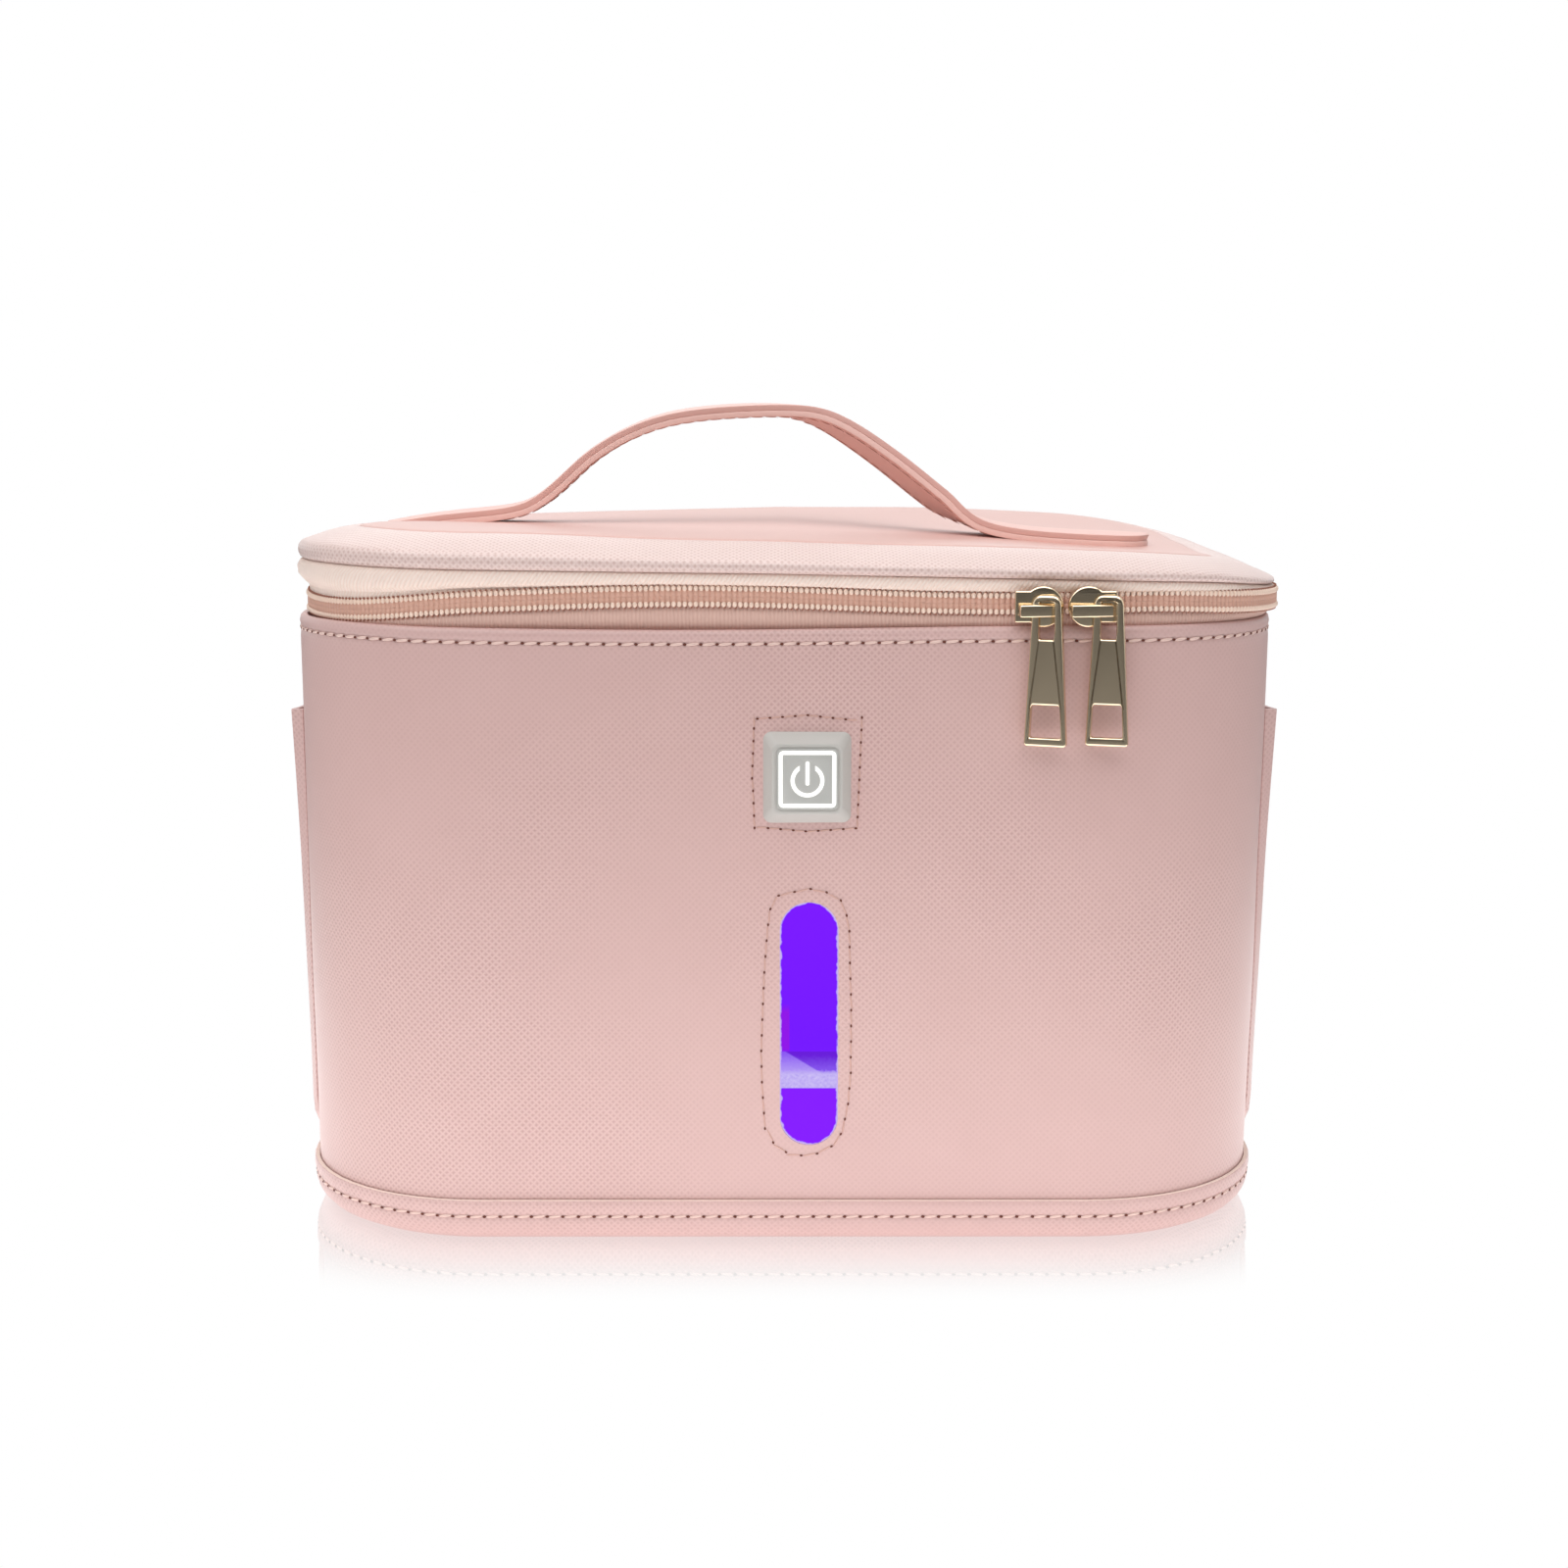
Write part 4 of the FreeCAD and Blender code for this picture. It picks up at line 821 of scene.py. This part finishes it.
welt = band("mouth_welt", [
    (2.3, 144), (2.3, 149.1), (3.0, 149.8), (4.4, 149.5), (6.2, 147.4), (7.3, 144.9), (8.1, 142.6),
    (8.1, 141), (6, 141)], closed=True)
wrap(welt)
dress(welt, BINDING)
stand_in(welt, "bag_body", "binding", "mouth_binding")

# Lid: rolled edge, top panel, lining

lid_edge = band("lid_edge_leather", [
    (3.2, 164.4), (2.5, 163.5), (1.5, 163.1), (0.5, 163.15), (-0.4, 163.55), (-0.9, 164.2), (-1.0, 164.8),
    (-0.8, 165.4), (-0.2, 165.95), (0.8, 166.4), (2.3, 166.95), (4.2, 167.6), (6.5, 168.4), (9.5, 169.2),
    (12, 169.65), (13.2, 169.7), (13.8, 169.3), (14.1, 168.5)])
lid_panel = band("lid_panel_leather", [
    (13.9, 168.5), (14.0, 169.3), (14.5, 169.8), (15.6, 170.0), (19, 170.1), (24, 170.15), (30, 170.2),
    (38, 170.2), (46, 170.2)], middle=True)


def lid_lie(point):
    """The padded lid: sunk, curled and slightly uneven."""
    uneven = noise.noise(point / (38 * MM)) * 0.5 * MM * part_of(point.z, LID_SEAM, LID_TOP)
    return point + settle_above(point) + Vector((0, 0, uneven))


for cover, look, nodes in (
        (lid_edge, LID_SHEEN_LEATHER, ("lid_band", "lid_foam", "lid_board")),
        (lid_panel, PLAIN_LEATHER, ("lid_top",))):
    move_points(cover, lid_lie)
    wrap(cover)
    dress(cover, look)
    stand_in(cover, "lid", "pink_leather", *nodes)

LID_LINING_Z = LID_SEAM / MM + 0.1
lid_lining = band("lid_foil_lining", [
    (2.4, LID_LINING_Z + 0.4), *((inset, LID_LINING_Z) for inset in (4, 8, 14, 24, 36, 46))], middle=True)


def lid_lining_lie(point):
    """The lining goes with the seam at its edge and lies flat inside it."""
    return point + settle_above(point) * eased(depth_in(point), 16 * MM, 3 * MM)


move_points(lid_lining, lid_lining_lie)
turn_inside_out(lid_lining)
dress(lid_lining, FOIL)
stand_in(lid_lining, "lid", "foil", "lid_liner")

# Zip: tapes, pearl rows and coil

lower_tape = band("lower_zip_cloth", [
    (3.2, 149), (2.0, 150.6), (1.5, 151.6), (1.35, 152.6), (1.5, 153.6), (1.9, 154.3), (2.0, 156.8),
    (3.4, 156.9), (3.4, 149)], closed=True)
upper_tape = band("upper_zip_cloth", [
    (3.4, 157.1), (2.0, 157.2), (1.8, 159.6), (0.8, 160.2), (0.2, 161.0), (0.0, 162.0), (0.4, 162.9),
    (1.6, 163.6), (2.4, 164.2), (3.6, 164.2)], closed=True)


def tape_lie(settle, front_crease):
    """The tape's lie: the settling, and for the upper tape some small level creases."""
    def lie(point):
        fold = Vector((point.x / CREASE_LENGTH, point.y / CREASE_LENGTH, point.z / CREASE_HEIGHT))
        crease = front_crease * noise.noise(fold)
        left = eased(-point.x, 40 * MM, 110 * MM) * eased(point.y, 60 * MM, 0)
        puff = TAPE_PUFF * left * sin(pi * part_of(point.z, CHAIN + 2 * MM, LID_SEAM + 0.7 * MM))
        return point + outward(point) * (crease + puff) + settle(point)
    return lie


move_points(lower_tape, tape_lie(settle_below, 0.1 * MM))
move_points(upper_tape, tape_lie(settle_above, 0.35 * MM))

CHAIN_END = HALF_ROUND - HINGE_HALF + 2 * MM


def open_at_hinge(piece):
    """Takes out the part of a tape that lies behind the hinge."""
    pick(piece)
    bpy.ops.object.mode_set(mode="EDIT")
    bpy.ops.mesh.select_mode(type="FACE")
    mesh = bmesh.from_edit_mesh(piece.data)
    for face in mesh.faces:
        face.select_set(along_plan(face.calc_center_median()) > CHAIN_END)
    bmesh.update_edit_mesh(piece.data)
    bpy.ops.mesh.delete(type="FACE")
    bpy.ops.mesh.select_mode(type="VERT")
    bpy.ops.object.mode_set(mode="OBJECT")


for tape, look, body, node, under in (
        (lower_tape, SHADED_LOW_TAPE_CLOTH, "bag_body", "lower_zip_tape", wall),
        (upper_tape, TAPE_CLOTH, "lid", "upper_zip_tape", lid_edge)):
    open_at_hinge(tape)
    wrap(tape)
    dress(tape, look)
    stand_in(tape, body, "zip_tape", node)

TOOTH_PITCH = 1.3 * MM
ROW_INSET = 1.5 * MM


def zip_row(name, hand, body, node):
    """One row of the zip: coil ribs, a line of thread pearls and the needle holes past them, as dots of
    painted shade.
    """
    pearl = fresh(bpy.ops.mesh.primitive_uv_sphere_add, segments=8, ring_count=5, radius=0.5)
    rib = fresh(bpy.ops.mesh.primitive_cylinder_add, vertices=6, radius=0.5, depth=1)
    hole = fresh(
        bpy.ops.mesh.primitive_cylinder_add, vertices=6, radius=0.5, depth=0.4, rotation=(pi / 2, 0, 0))
    bpy.ops.object.transform_apply(location=False, rotation=True, scale=False)
    for model, look, size, spot in (
            (pearl, PEARL_THREAD, (1.2, 1.4, 1.5), (0, 0.1, -hand * 1.85)),
            (rib, COIL_NYLON, (1.55, 0.9, 1.46), (0, 0, -hand * 0.72)),
            (hole, COIL_HOLE_SHADE, (0.6, 1, 0.6), (0.3, 0.1, -hand * 2.6))):
        model.data.transform(Matrix.Scale(MM, 4) @ Matrix.Translation(spot) @ Matrix.Diagonal((*size, 1)))
        dress(model, look)
        pick(model)
        bpy.ops.object.shade_smooth()
    pick(pearl, rib, hole)
    bpy.ops.object.join()
    places = round_the_bag(ROW_INSET, CHAIN, TOOTH_PITCH, -CHAIN_END, CHAIN_END, settle_below)
    stand_in(copies(name, pearl, places), body, "zip_coil", node)


zip_row("lower_zip_row", -1, "bag_body", "lower_zip_coil")
zip_row("upper_zip_row", 1, "lid", "upper_zip_coil")

# Hinge at the back

HINGE_FOOT = RIM - 3 * MM
HINGE_HEAD = LID_SEAM + 0.8 * MM
hinge = fresh(bpy.ops.mesh.primitive_grid_add, "hinge_leather", x_subdivisions=40, y_subdivisions=24, size=2)


def hinge_lie(point):
    """A leather strip across the back, bowed out a little at its fold."""
    height = HINGE_FOOT + (HINGE_HEAD - HINGE_FOOT) * (point.y + 1) / 2
    bow = 1.1 * MM * (1 - point.y ** 2) + 0.25 * MM * noise.noise(Vector((point.x * 4, point.y * 3, 0)))
    spot, way = on_plan(HALF_ROUND - abs(point.x) * HINGE_HALF, 2.7 * MM, height)
    spot = spot + way * bow
    return Vector((spot.x if point.x >= 0 else -spot.x, spot.y, spot.z))


move_points(hinge, hinge_lie)
shape(hinge, "SOLIDIFY", thickness=1.2 * MM, offset=0)
tidy_skin(hinge)
wrap(hinge)
dress(hinge, PLAIN_LEATHER)
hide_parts("hinge_strip")
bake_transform(hinge)

LEAD_LOW, LEAD_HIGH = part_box("hinge_lead")
hinge_lead = fresh(
    bpy.ops.mesh.primitive_cube_add, "hinge_flat_lead", size=1, location=(LEAD_LOW + LEAD_HIGH) / 2)
hinge_lead.scale = LEAD_HIGH - LEAD_LOW
bpy.ops.object.transform_apply(location=True, rotation=False, scale=True)
bpy.ops.object.mode_set(mode="EDIT")
mesh = bmesh.from_edit_mesh(hinge_lead.data)
for edge in mesh.edges:
    edge.select_set(abs(edge.verts[0].co.z - edge.verts[1].co.z) > 5 * MM)
bmesh.update_edit_mesh(hinge_lead.data)
bpy.ops.mesh.subdivide(number_cuts=16)
bpy.ops.object.mode_set(mode="OBJECT")
tidy_skin(hinge_lead)
dress(hinge_lead, LEAD_FILM)
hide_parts("hinge_lead")
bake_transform(hinge_lead)

# Handle: two plies of leather bent along a route read from the photo

HANDLE_ROUTE = (
    (-104, 168.6), (-97, 169.9), (-90, 170.9), (-82, 171.7), (-72, 172.6), (-65, 174.4), (-58, 180.0),
    (-52, 186.0), (-46, 190.2), (-39, 194.0), (-31, 197.0), (-22, 198.5), (-13, 199.2), (-4, 199.5),
    (5, 199.0), (12, 196.8), (20, 192.0), (30, 184.8), (38, 178.2), (46, 172.2), (53, 168.9), (62, 167.2),
    (73, 166.2), (84, 165.7), (97, 165.3))
HANDLE_WIDTH = 20 * MM
PLY = 1.5 * MM
HANDLE_END = 9 * MM
HANDLE_YAW = radians(20)


def smooth_route(points):
    """A smooth curve close to some points, as points about a millimetre apart."""
    curve = bpy.data.curves.new("handle_route", "CURVE")
    curve.dimensions = "3D"
    curve.resolution_u = 12
    spline = curve.splines.new("NURBS")
    spline.points.add(len(points) - 1)
    for knot, point in zip(spline.points, points):
        knot.co = (*point, 1)
    spline.use_endpoint_u = True
    spline.order_u = 4
    holder = bpy.data.objects.new("handle_route", curve)
    drawn = bpy.data.meshes.new_from_object(holder)
    line = [vertex.co.copy() for vertex in drawn.vertices]
    bpy.data.objects.remove(holder)
    bpy.data.meshes.remove(drawn)
    return line


ROUTE = smooth_route([Vector((x, 0, z)) * MM for x, z in HANDLE_ROUTE])
ROUTE_GONE = distances(ROUTE)
HANDLE_LENGTH = ROUTE_GONE[-1]


def on_handle(along, across, proud):
    """The place at a distance along the handle, across it and proud of its middle, with its way."""
    spot, way = along_line(ROUTE, ROUTE_GONE, along)
    yaw = HANDLE_YAW * eased(spot.x, -45 * MM, 10 * MM) * eased(spot.z, 168 * MM, 176 * MM)
    side = Vector((-sin(yaw), cos(yaw), 0))
    side = (side - way * side.dot(way)).normalized()
    out = way.cross(side)
    if out.z < 0:
        out = -out
    return spot + side * across + out * proud, way, out


def handle_ply(name, proud, look):
    """One leather ply of the handle."""
    ply = fresh(bpy.ops.mesh.primitive_grid_add, name, x_subdivisions=120, y_subdivisions=8, size=2)

    def place(point):
        along = (point.x + 1) / 2 * HANDLE_LENGTH
        crown = 0.35 * MM * (1 - point.y ** 2) * (1 if proud > 0 else 0)
        short = 1 - part_of(min(along, HANDLE_LENGTH - along), 0, HANDLE_END)
        half = HANDLE_WIDTH / 2 * max(1 - short ** 2, 0.02) ** 0.5
        return on_handle(along, point.y * half, proud + crown)[0]

    move_points(ply, place)
    shape(ply, "SOLIDIFY", thickness=PLY, offset=0)
    shape(ply, "BEVEL", width=0.5 * MM, segments=3, limit_method="ANGLE", angle_limit=radians(50))
    tidy_skin(ply, 60)
    wrap(ply)
    dress(ply, look)
    return ply


handle = handle_ply("handle_leather", PLY / 2, STRAP_LEATHER)
handle_under = handle_ply("handle_under_leather", -PLY / 2 - 0.02 * MM, BACKING_LEATHER)

# Stitches


def stitch(length, thickness, slant, look, holes):
    """One stitch: a plump twist of thread and its needle hole, a dark disc of painted shade, which has a
    width in millimetres.
    """
    strand = fresh(
        bpy.ops.mesh.primitive_uv_sphere_add, segments=8, ring_count=8, radius=0.5, rotation=(0, pi / 2, 0))
    bpy.ops.object.transform_apply(location=False, rotation=True, scale=False)
    strand.data.transform(Matrix.Diagonal((length * 0.9, thickness, thickness, 1)))
    strand.data.transform(Matrix.Rotation(radians(slant), 4, "Y"))
    dress(strand, look)
    bpy.ops.object.shade_smooth()
    hole = fresh(
        bpy.ops.mesh.primitive_cylinder_add, vertices=8, radius=0.5, depth=0.1 * MM, rotation=(pi / 2, 0, 0))
    bpy.ops.object.transform_apply(location=False, rotation=True, scale=False)
    hole.data.transform(Matrix.Diagonal((holes * MM, 1, holes * 0.7 * MM, 1)))
    hole.data.transform(Matrix.Translation((length / 2, 0.3 * thickness, 0)))
    dress(hole, NEEDLE_HOLE_SHADE)
    pick(strand, hole)
    bpy.ops.object.join()
    return strand


SEAM_PITCH = 3.8 * MM
for name, inset, height, settle in (
        ("rim_stitches", 0.3 * MM, RIM - 3.4 * MM, wall_shift),
        ("base_stitches", -0.85 * MM, 7.3 * MM, None)):
    places = round_the_bag(inset, height, SEAM_PITCH, -HALF_ROUND, HALF_ROUND, settle)
    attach(copies(name, stitch(SEAM_PITCH, 0.8 * MM, 7, THREAD, 0.9), places), "bag_body")

# The seams round the window and the button, sewn by hand and not quite straight, as X and Z in millimetres
WINDOW_SEAM = (
    (6.8, 88.3), (2.6, 87.5), (-1.0, 86.6), (-2.8, 83.3), (-3.3, 79.5), (-3.7, 75.3), (-4.3, 66.7),
    (-4.7, 56.4), (-5.0, 48.1), (-4.8, 40.1), (-4.2, 30.7), (-2.8, 27.3), (-1.1, 24.6), (2.0, 22.6),
    (5.0, 22.4), (7.9, 22.8), (12.4, 24.9), (14.6, 28.4), (15.9, 35.1), (16.5, 42.2), (16.6, 52.1),
    (16.6, 60.4), (16.3, 68.8), (16.1, 77.1), (15.5, 81.3), (14.1, 85.3), (11.1, 87.2), (6.8, 88.3))
BUTTON_SEAM = (
    (6.1, 130.0), (-6.5, 129.1), (-7.0, 116.4), (-6.5, 103.3), (6.1, 102.2), (17.8, 103.0), (18.3, 115.3),
    (18.8, 128.6), (6.1, 130.0))
for name, seam, pitch in (
        ("window_stitches", WINDOW_SEAM, 3.85 * MM), ("button_stitches", BUTTON_SEAM, 3.0 * MM)):
    places = along_front([Vector((x * MM, FRONT, z * MM)) for x, z in seam], pitch, 0.02 * MM)
    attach(copies(name, stitch(pitch, 0.4 * MM, 4, DULL_THREAD, 0.75), places), "bag_body")

HANDLE_PITCH = 3.6 * MM
HANDLE_SEAM = HANDLE_WIDTH / 2 - 2.2 * MM


def handle_places(across):
    """Places for the stitches along the handle, on its underside, as the photo shows none on top."""
    sewn = HANDLE_LENGTH - 2 * HANDLE_END
    count = round(sewn / HANDLE_PITCH)
    places = []
    for step in range(count):
        spot, way, out = on_handle(HANDLE_END + sewn * (step + 0.5) / count, across, -PLY - 0.15 * MM)
        places.append(stand(spot, way, -out))
    return places


handle_stitches = copies(
    "handle_stitches", stitch(HANDLE_PITCH, 0.3 * MM, 3, DULL_THREAD, 0.2),
    handle_places(-HANDLE_SEAM) + handle_places(HANDLE_SEAM))
for piece in (handle, handle_under, handle_stitches):
    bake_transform(piece)
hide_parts("handle_strap", "handle_tabs")
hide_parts("handle_core")

# Button, sliders and pulls


def soft_copy(name, node, width, look, body, slot):
    """A copy of a hard part with its edges softened."""
    piece = frame["nodes"][node].copy()
    piece.data = piece.data.copy()
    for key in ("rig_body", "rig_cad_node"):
        if key in piece:
            del piece[key]
    piece.parent = None
    piece.name = name
    bpy.context.collection.objects.link(piece)
    pick(piece)
    bpy.ops.object.mode_set(mode="EDIT")
    bpy.ops.mesh.select_all(action="SELECT")
    bpy.ops.mesh.remove_doubles(threshold=0.002 * MM)
    bpy.ops.mesh.dissolve_limited(angle_limit=radians(3))
    bpy.ops.mesh.normals_make_consistent(inside=False)
    bpy.ops.object.mode_set(mode="OBJECT")
    shape(piece, "BEVEL", width=width, segments=3, limit_method="ANGLE", angle_limit=radians(35))
    bpy.ops.object.shade_smooth_by_angle(angle=radians(35))
    dress(piece, look)
    stand_in(piece, body, slot, node)


soft_copy("button_case", "button_housing", 0.5 * MM, BUTTON_GREY, "bag_body", "grey_plastic")
soft_copy("button_key", "button_cap", 0.12 * MM, KEY_GREY, "button", "button_grey")

SQUARE = ((-1, -1), (1, -1), (1, 1), (-1, 1))
SEAL_OUT = 15.3 * MM
SEAL_IN = 14.42 * MM
seal_loops = []
for width, soft in ((SEAL_OUT, 1.6 * MM), (SEAL_IN, 1.2 * MM)):
    corners = [Vector((BUTTON_X + x * width / 2, BUTTON_Z + z * width / 2)) for x, z in SQUARE]
    seal_loops.append(rounded(corners, [soft] * 4))
button_seal = plate("button_seal", seal_loops, 0.5 * MM, 0.05 * MM)
button_seal.data.transform(Matrix.Translation((0, BUTTON[0].y + 0.35 * MM, 0)))
dress(button_seal, BUTTON_GREY)
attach(button_seal, "bag_body")

SLIDER_FRONT = -86.6 * MM
SLIDER_BACK = -80.4 * MM
SLIDER_Z = 155.75 * MM
SLIDER_HEAD = 4.8 * MM
SLIDER_TAIL = 6.6 * MM
TAIL_HALF = 3.7 * MM
HEAD_SHIFT = 0.7 * MM
STRAP_Y = -89.5 * MM
STRAP_Z = 155.0 * MM


def block(size, spot, turn, soft):
    """A small block with soft edges, turned about the vertical."""
    made = fresh(bpy.ops.mesh.primitive_cube_add, size=1)
    made.data.transform(Matrix.Diagonal((*size, 1)))
    shape(made, "BEVEL", width=soft, segments=3, limit_method="ANGLE")
    made.data.transform(Matrix.Translation(spot) @ Matrix.Rotation(radians(turn), 4, "Z"))
    return made


def slider(name, node, hand):
    """A zip slider: two plates with a round head and a tail, and the strap that carries the pull."""
    low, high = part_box(node)
    middle = (low.x + high.x) / 2
    head = middle - hand * HEAD_SHIFT
    open_half = asin(TAIL_HALF / SLIDER_HEAD)
    outline = []
    for step in range(25):
        angle = open_half + (2 * pi - 2 * open_half) * step / 24
        outline.append(Vector((hand * SLIDER_HEAD * cos(angle), SLIDER_HEAD * sin(angle))))
    outline += [Vector((hand * SLIDER_TAIL, -TAIL_HALF)), Vector((hand * SLIDER_TAIL, TAIL_HALF))]
    pieces = []
    for y in (SLIDER_FRONT, SLIDER_BACK):
        side = plate(name, [outline], 1.5 * MM, 0.4 * MM)
        side.data.transform(Matrix.Translation((head, y, SLIDER_Z)))
        pieces.append(side)
    strap = Vector((middle, STRAP_Y, STRAP_Z))
    pieces.append(block((10.2 * MM, 1.2 * MM, 2.9 * MM), strap, 10, 0.4 * MM))
    for end in (-1, 1):
        leg = Vector((end * 4.4 * MM, (end * 0.75 + 1.2) * MM, 0))
        pieces.append(block((1.4 * MM, 3.0 * MM, 2.3 * MM), strap + leg, 0, 0.35 * MM))
    post = (head - hand * 2.6 * MM, (SLIDER_FRONT + SLIDER_BACK) / 2, SLIDER_Z)
    pieces.append(block((1.6 * MM, 6.4 * MM, 1.0 * MM), post, 0, 0.2 * MM))
    pick(*pieces)
    bpy.ops.object.join()
    made = bpy.context.object
    made.name = name
    flat_faced(made)
    dress(made, GOLD)
    stand_in(made, node, "gold_metal", node)


slider("left_slider_metal", "left_slider", -1)
slider("right_slider_metal", "right_slider", 1)

PULL_LOOPS = (
    (((-5.1, 123.2), (5.1, 123.2), (3.35, 158.6), (-3.35, 158.6)), (0.8, 0.8, 2.2, 2.2)),
    (((-1.85, 148.4), (1.85, 148.4), (1.75, 157.2), (-1.75, 157.2)), (0.5, 0.5, 0.5, 0.5)),
    (((-3.75, 125.3), (3.75, 125.3), (3.4, 132.9), (-3.4, 132.9)), (0.5, 0.5, 0.5, 0.5)))


def pull(name, node, shift, back, turn):
    """A pull: a flat ring that hangs on the strap by its eye, slid along it and turned a little."""
    low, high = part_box(node)
    loops = []
    for corners, softness in PULL_LOOPS:
        loops.append(rounded([Vector(corner) * MM for corner in corners], [soft * MM for soft in softness]))
    made = plate(name, loops, 2.3 * MM, 0.5 * MM)
    spot = Vector(((low.x + high.x) / 2 + shift, STRAP_Y + back, 0))
    made.data.transform(Matrix.Translation(spot) @ Matrix.Rotation(radians(turn), 4, "Z"))
    dress(made, GOLD)
    stand_in(made, node, "gold_metal", node)


pull("left_pull_metal", "left_pull", 2.0 * MM, 0.3 * MM, -20)
pull("right_pull_metal", "right_pull", 3.4 * MM, 0.8 * MM, -16)

# Materials of the CAD parts that stay

LOOKS = {
    "zip_stops": GOLD, "window_lens": WINDOW_GLOW, "button_back": DARK_PLASTIC, "switch_board": BOARD,
    "tact_switch": DRIVER_PARTS, "inlet_bezel": BUTTON_GREY, "power_inlet": SOCKET_STEEL,
    "inlet_tongue": DRIVER_PARTS, "driver_board": BOARD, "driver_parts": DRIVER_PARTS,
    "lid_switch": DRIVER_PARTS, "front_lead": LEAD_FILM, "back_lead": LEAD_FILM, "floor_uv_board": BOARD,
    "floor_uv_leds": EMITTER, "floor_uv_cover": CLEAR_COVER, "floor_uv_screws": SOCKET_STEEL,
    "button_light_guide": LIGHT_GUIDE, "switch_plunger": DARK_PLASTIC, "lid_magnet": SOCKET_STEEL,
    "lid_lead": LEAD_FILM, "lid_uv_board": BOARD, "lid_uv_leds": EMITTER, "lid_uv_cover": CLEAR_COVER,
    "lid_uv_screws": SOCKET_STEEL}
for node, look in LOOKS.items():
    dress(frame["nodes"][node], look)

# Floor, light and camera

floor = fresh(bpy.ops.mesh.primitive_plane_add, "table_top", size=6, location=(0, 0, -0.05 * MM))
MIRROR_REACH = 42 * MM
SHADE_REACH = 35 * MM
GLOW_REACH = 440 * MM
# White gloss table: to the camera plain white, with a mirror of the bag that fades a short way from its foot.
TABLE = material("white_gloss_table", roughness=0.5)
tree = TABLE.node_tree
surface = tree.nodes["Principled BSDF"]
place = add(tree, "TexCoord", {})
folded = add(tree, "VectorMath", {0: place.outputs["Object"]}, operation="ABSOLUTE")
past = add(tree, "VectorMath", {0: folded.outputs[0], 1: (RUN, DEEP, 0)}, operation="SUBTRACT")
past = add(tree, "VectorMath", {0: past.outputs[0], 1: (0, 0, 0)}, operation="MAXIMUM")
reach = add(tree, "VectorMath", {0: past.outputs[0]}, operation="LENGTH").outputs["Value"]
# Light from the table's front lifts the lower half of the bag; close to the bag the table is in its shade.
# Far from the bag the table falls into the dark, which the metal mirrors.
falls = {}
for name, start, end, first, last, easing in (
        ("mirror", -4 * MM, MIRROR_REACH, 0.52, 0, "SMOOTHERSTEP"),
        ("glow", 0, GLOW_REACH, 1.1, 0, "SMOOTHSTEP"),
        ("shade", 0, SHADE_REACH, 0.5, 1, "LINEAR"),
        ("dusk", 200 * MM, GLOW_REACH, 0.9, 0.25, "LINEAR")):
    fall = add(tree, "MapRange", {
        "Value": reach, "From Min": CORNER + start, "From Max": CORNER + end,
        "To Min": first, "To Max": last}, interpolation_type=easing)
    falls[name] = fall.outputs["Result"]
plain = add(tree, "Emission", {"Color": (1, 1, 1, 1), "Strength": 1})
mirror = add(tree, "BsdfGlossy", {"Color": (1, 1, 1, 1), "Roughness": 0.04})
shown = add(tree, "MixShader", {0: falls["mirror"], 1: plain.outputs[0], 2: mirror.outputs[0]})
path = add(tree, "LightPath", {})
mixed = add(tree, "MixShader", {
    0: path.outputs["Is Camera Ray"], 1: surface.outputs[0], 2: shown.outputs[0]})
tree.links.new(mixed.outputs[0], tree.nodes["Material Output"].inputs["Surface"])
lit = add(tree, "Math", {0: falls["glow"], 1: falls["shade"]}, operation="MULTIPLY")
surface.inputs["Emission Color"].default_value = (1, 1, 1, 1)
tree.links.new(lit.outputs[0], surface.inputs["Emission Strength"])
tree.links.new(falls["dusk"], surface.inputs["Base Color"])
dress(floor, TABLE)

scene = bpy.context.scene
world = bpy.data.worlds.new("studio")
scene.world = world
world.use_nodes = True
tree = world.node_tree
path = add(tree, "LightPath", {})
seen = path.outputs["Is Camera Ray"]
for ray in ("Is Glossy Ray", "Is Transmission Ray"):
    seen = add(tree, "Math", {0: seen, 1: path.outputs[ray]}, operation="ADD", use_clamp=True).outputs[0]
# Mirrors see a dim room on the camera's side, so that the metal shows its edges.
look = add(tree, "TexCoord", {})
toward = add(tree, "SeparateXYZ", {"Vector": look.outputs["Generated"]})
room = add(tree, "MapRange", {
    "Value": toward.outputs["Y"], "From Min": -0.92, "From Max": -0.3, "To Min": 0.08, "To Max": 1})
dim = add(tree, "Mix", {"Factor": path.outputs["Is Camera Ray"], "A": room.outputs["Result"], "B": 1.0})
level = add(tree, "Mix", {"Factor": seen, "A": 0.28, "B": dim.outputs["Result"]})
sky = tree.nodes["Background"]
sky.inputs["Color"].default_value = (1, 1, 1, 1)
tree.links.new(level.outputs["Result"], sky.inputs["Strength"])


def lamp(name, spot, aim, size, power):
    """A soft lamp aimed at a point, unseen by the camera."""
    light = bpy.data.lights.new(name, "AREA")
    light.shape = "RECTANGLE"
    light.size, light.size_y = size
    light.energy = power
    holder = bpy.data.objects.new(name, light)
    holder.location = spot
    holder.rotation_euler = (Vector(aim) - Vector(spot)).to_track_quat("-Z", "Y").to_euler()
    holder.visible_camera = False
    scene.collection.objects.link(holder)


lamp("top_softbox", (-0.1, -0.35, 1.1), (0, 0, 0.15), (1.6, 1.6), 15.5)
lamp("back_softbox", (0, 0.9, 0.65), (0, 0, 0.17), (0.9, 0.3), 0.7)

camera = bpy.data.objects.new("camera", bpy.data.cameras.new("camera"))
camera.location = (-0.0001, -0.6786, 0.2125)
camera.rotation_euler = (pi / 2 - 0.165, 0, -0.001)
camera.data.lens = 58.53
camera.data.sensor_width = 36
camera.data.clip_start = 0.01
scene.collection.objects.link(camera)
scene.camera = camera
scene.view_settings.view_transform = "Standard"
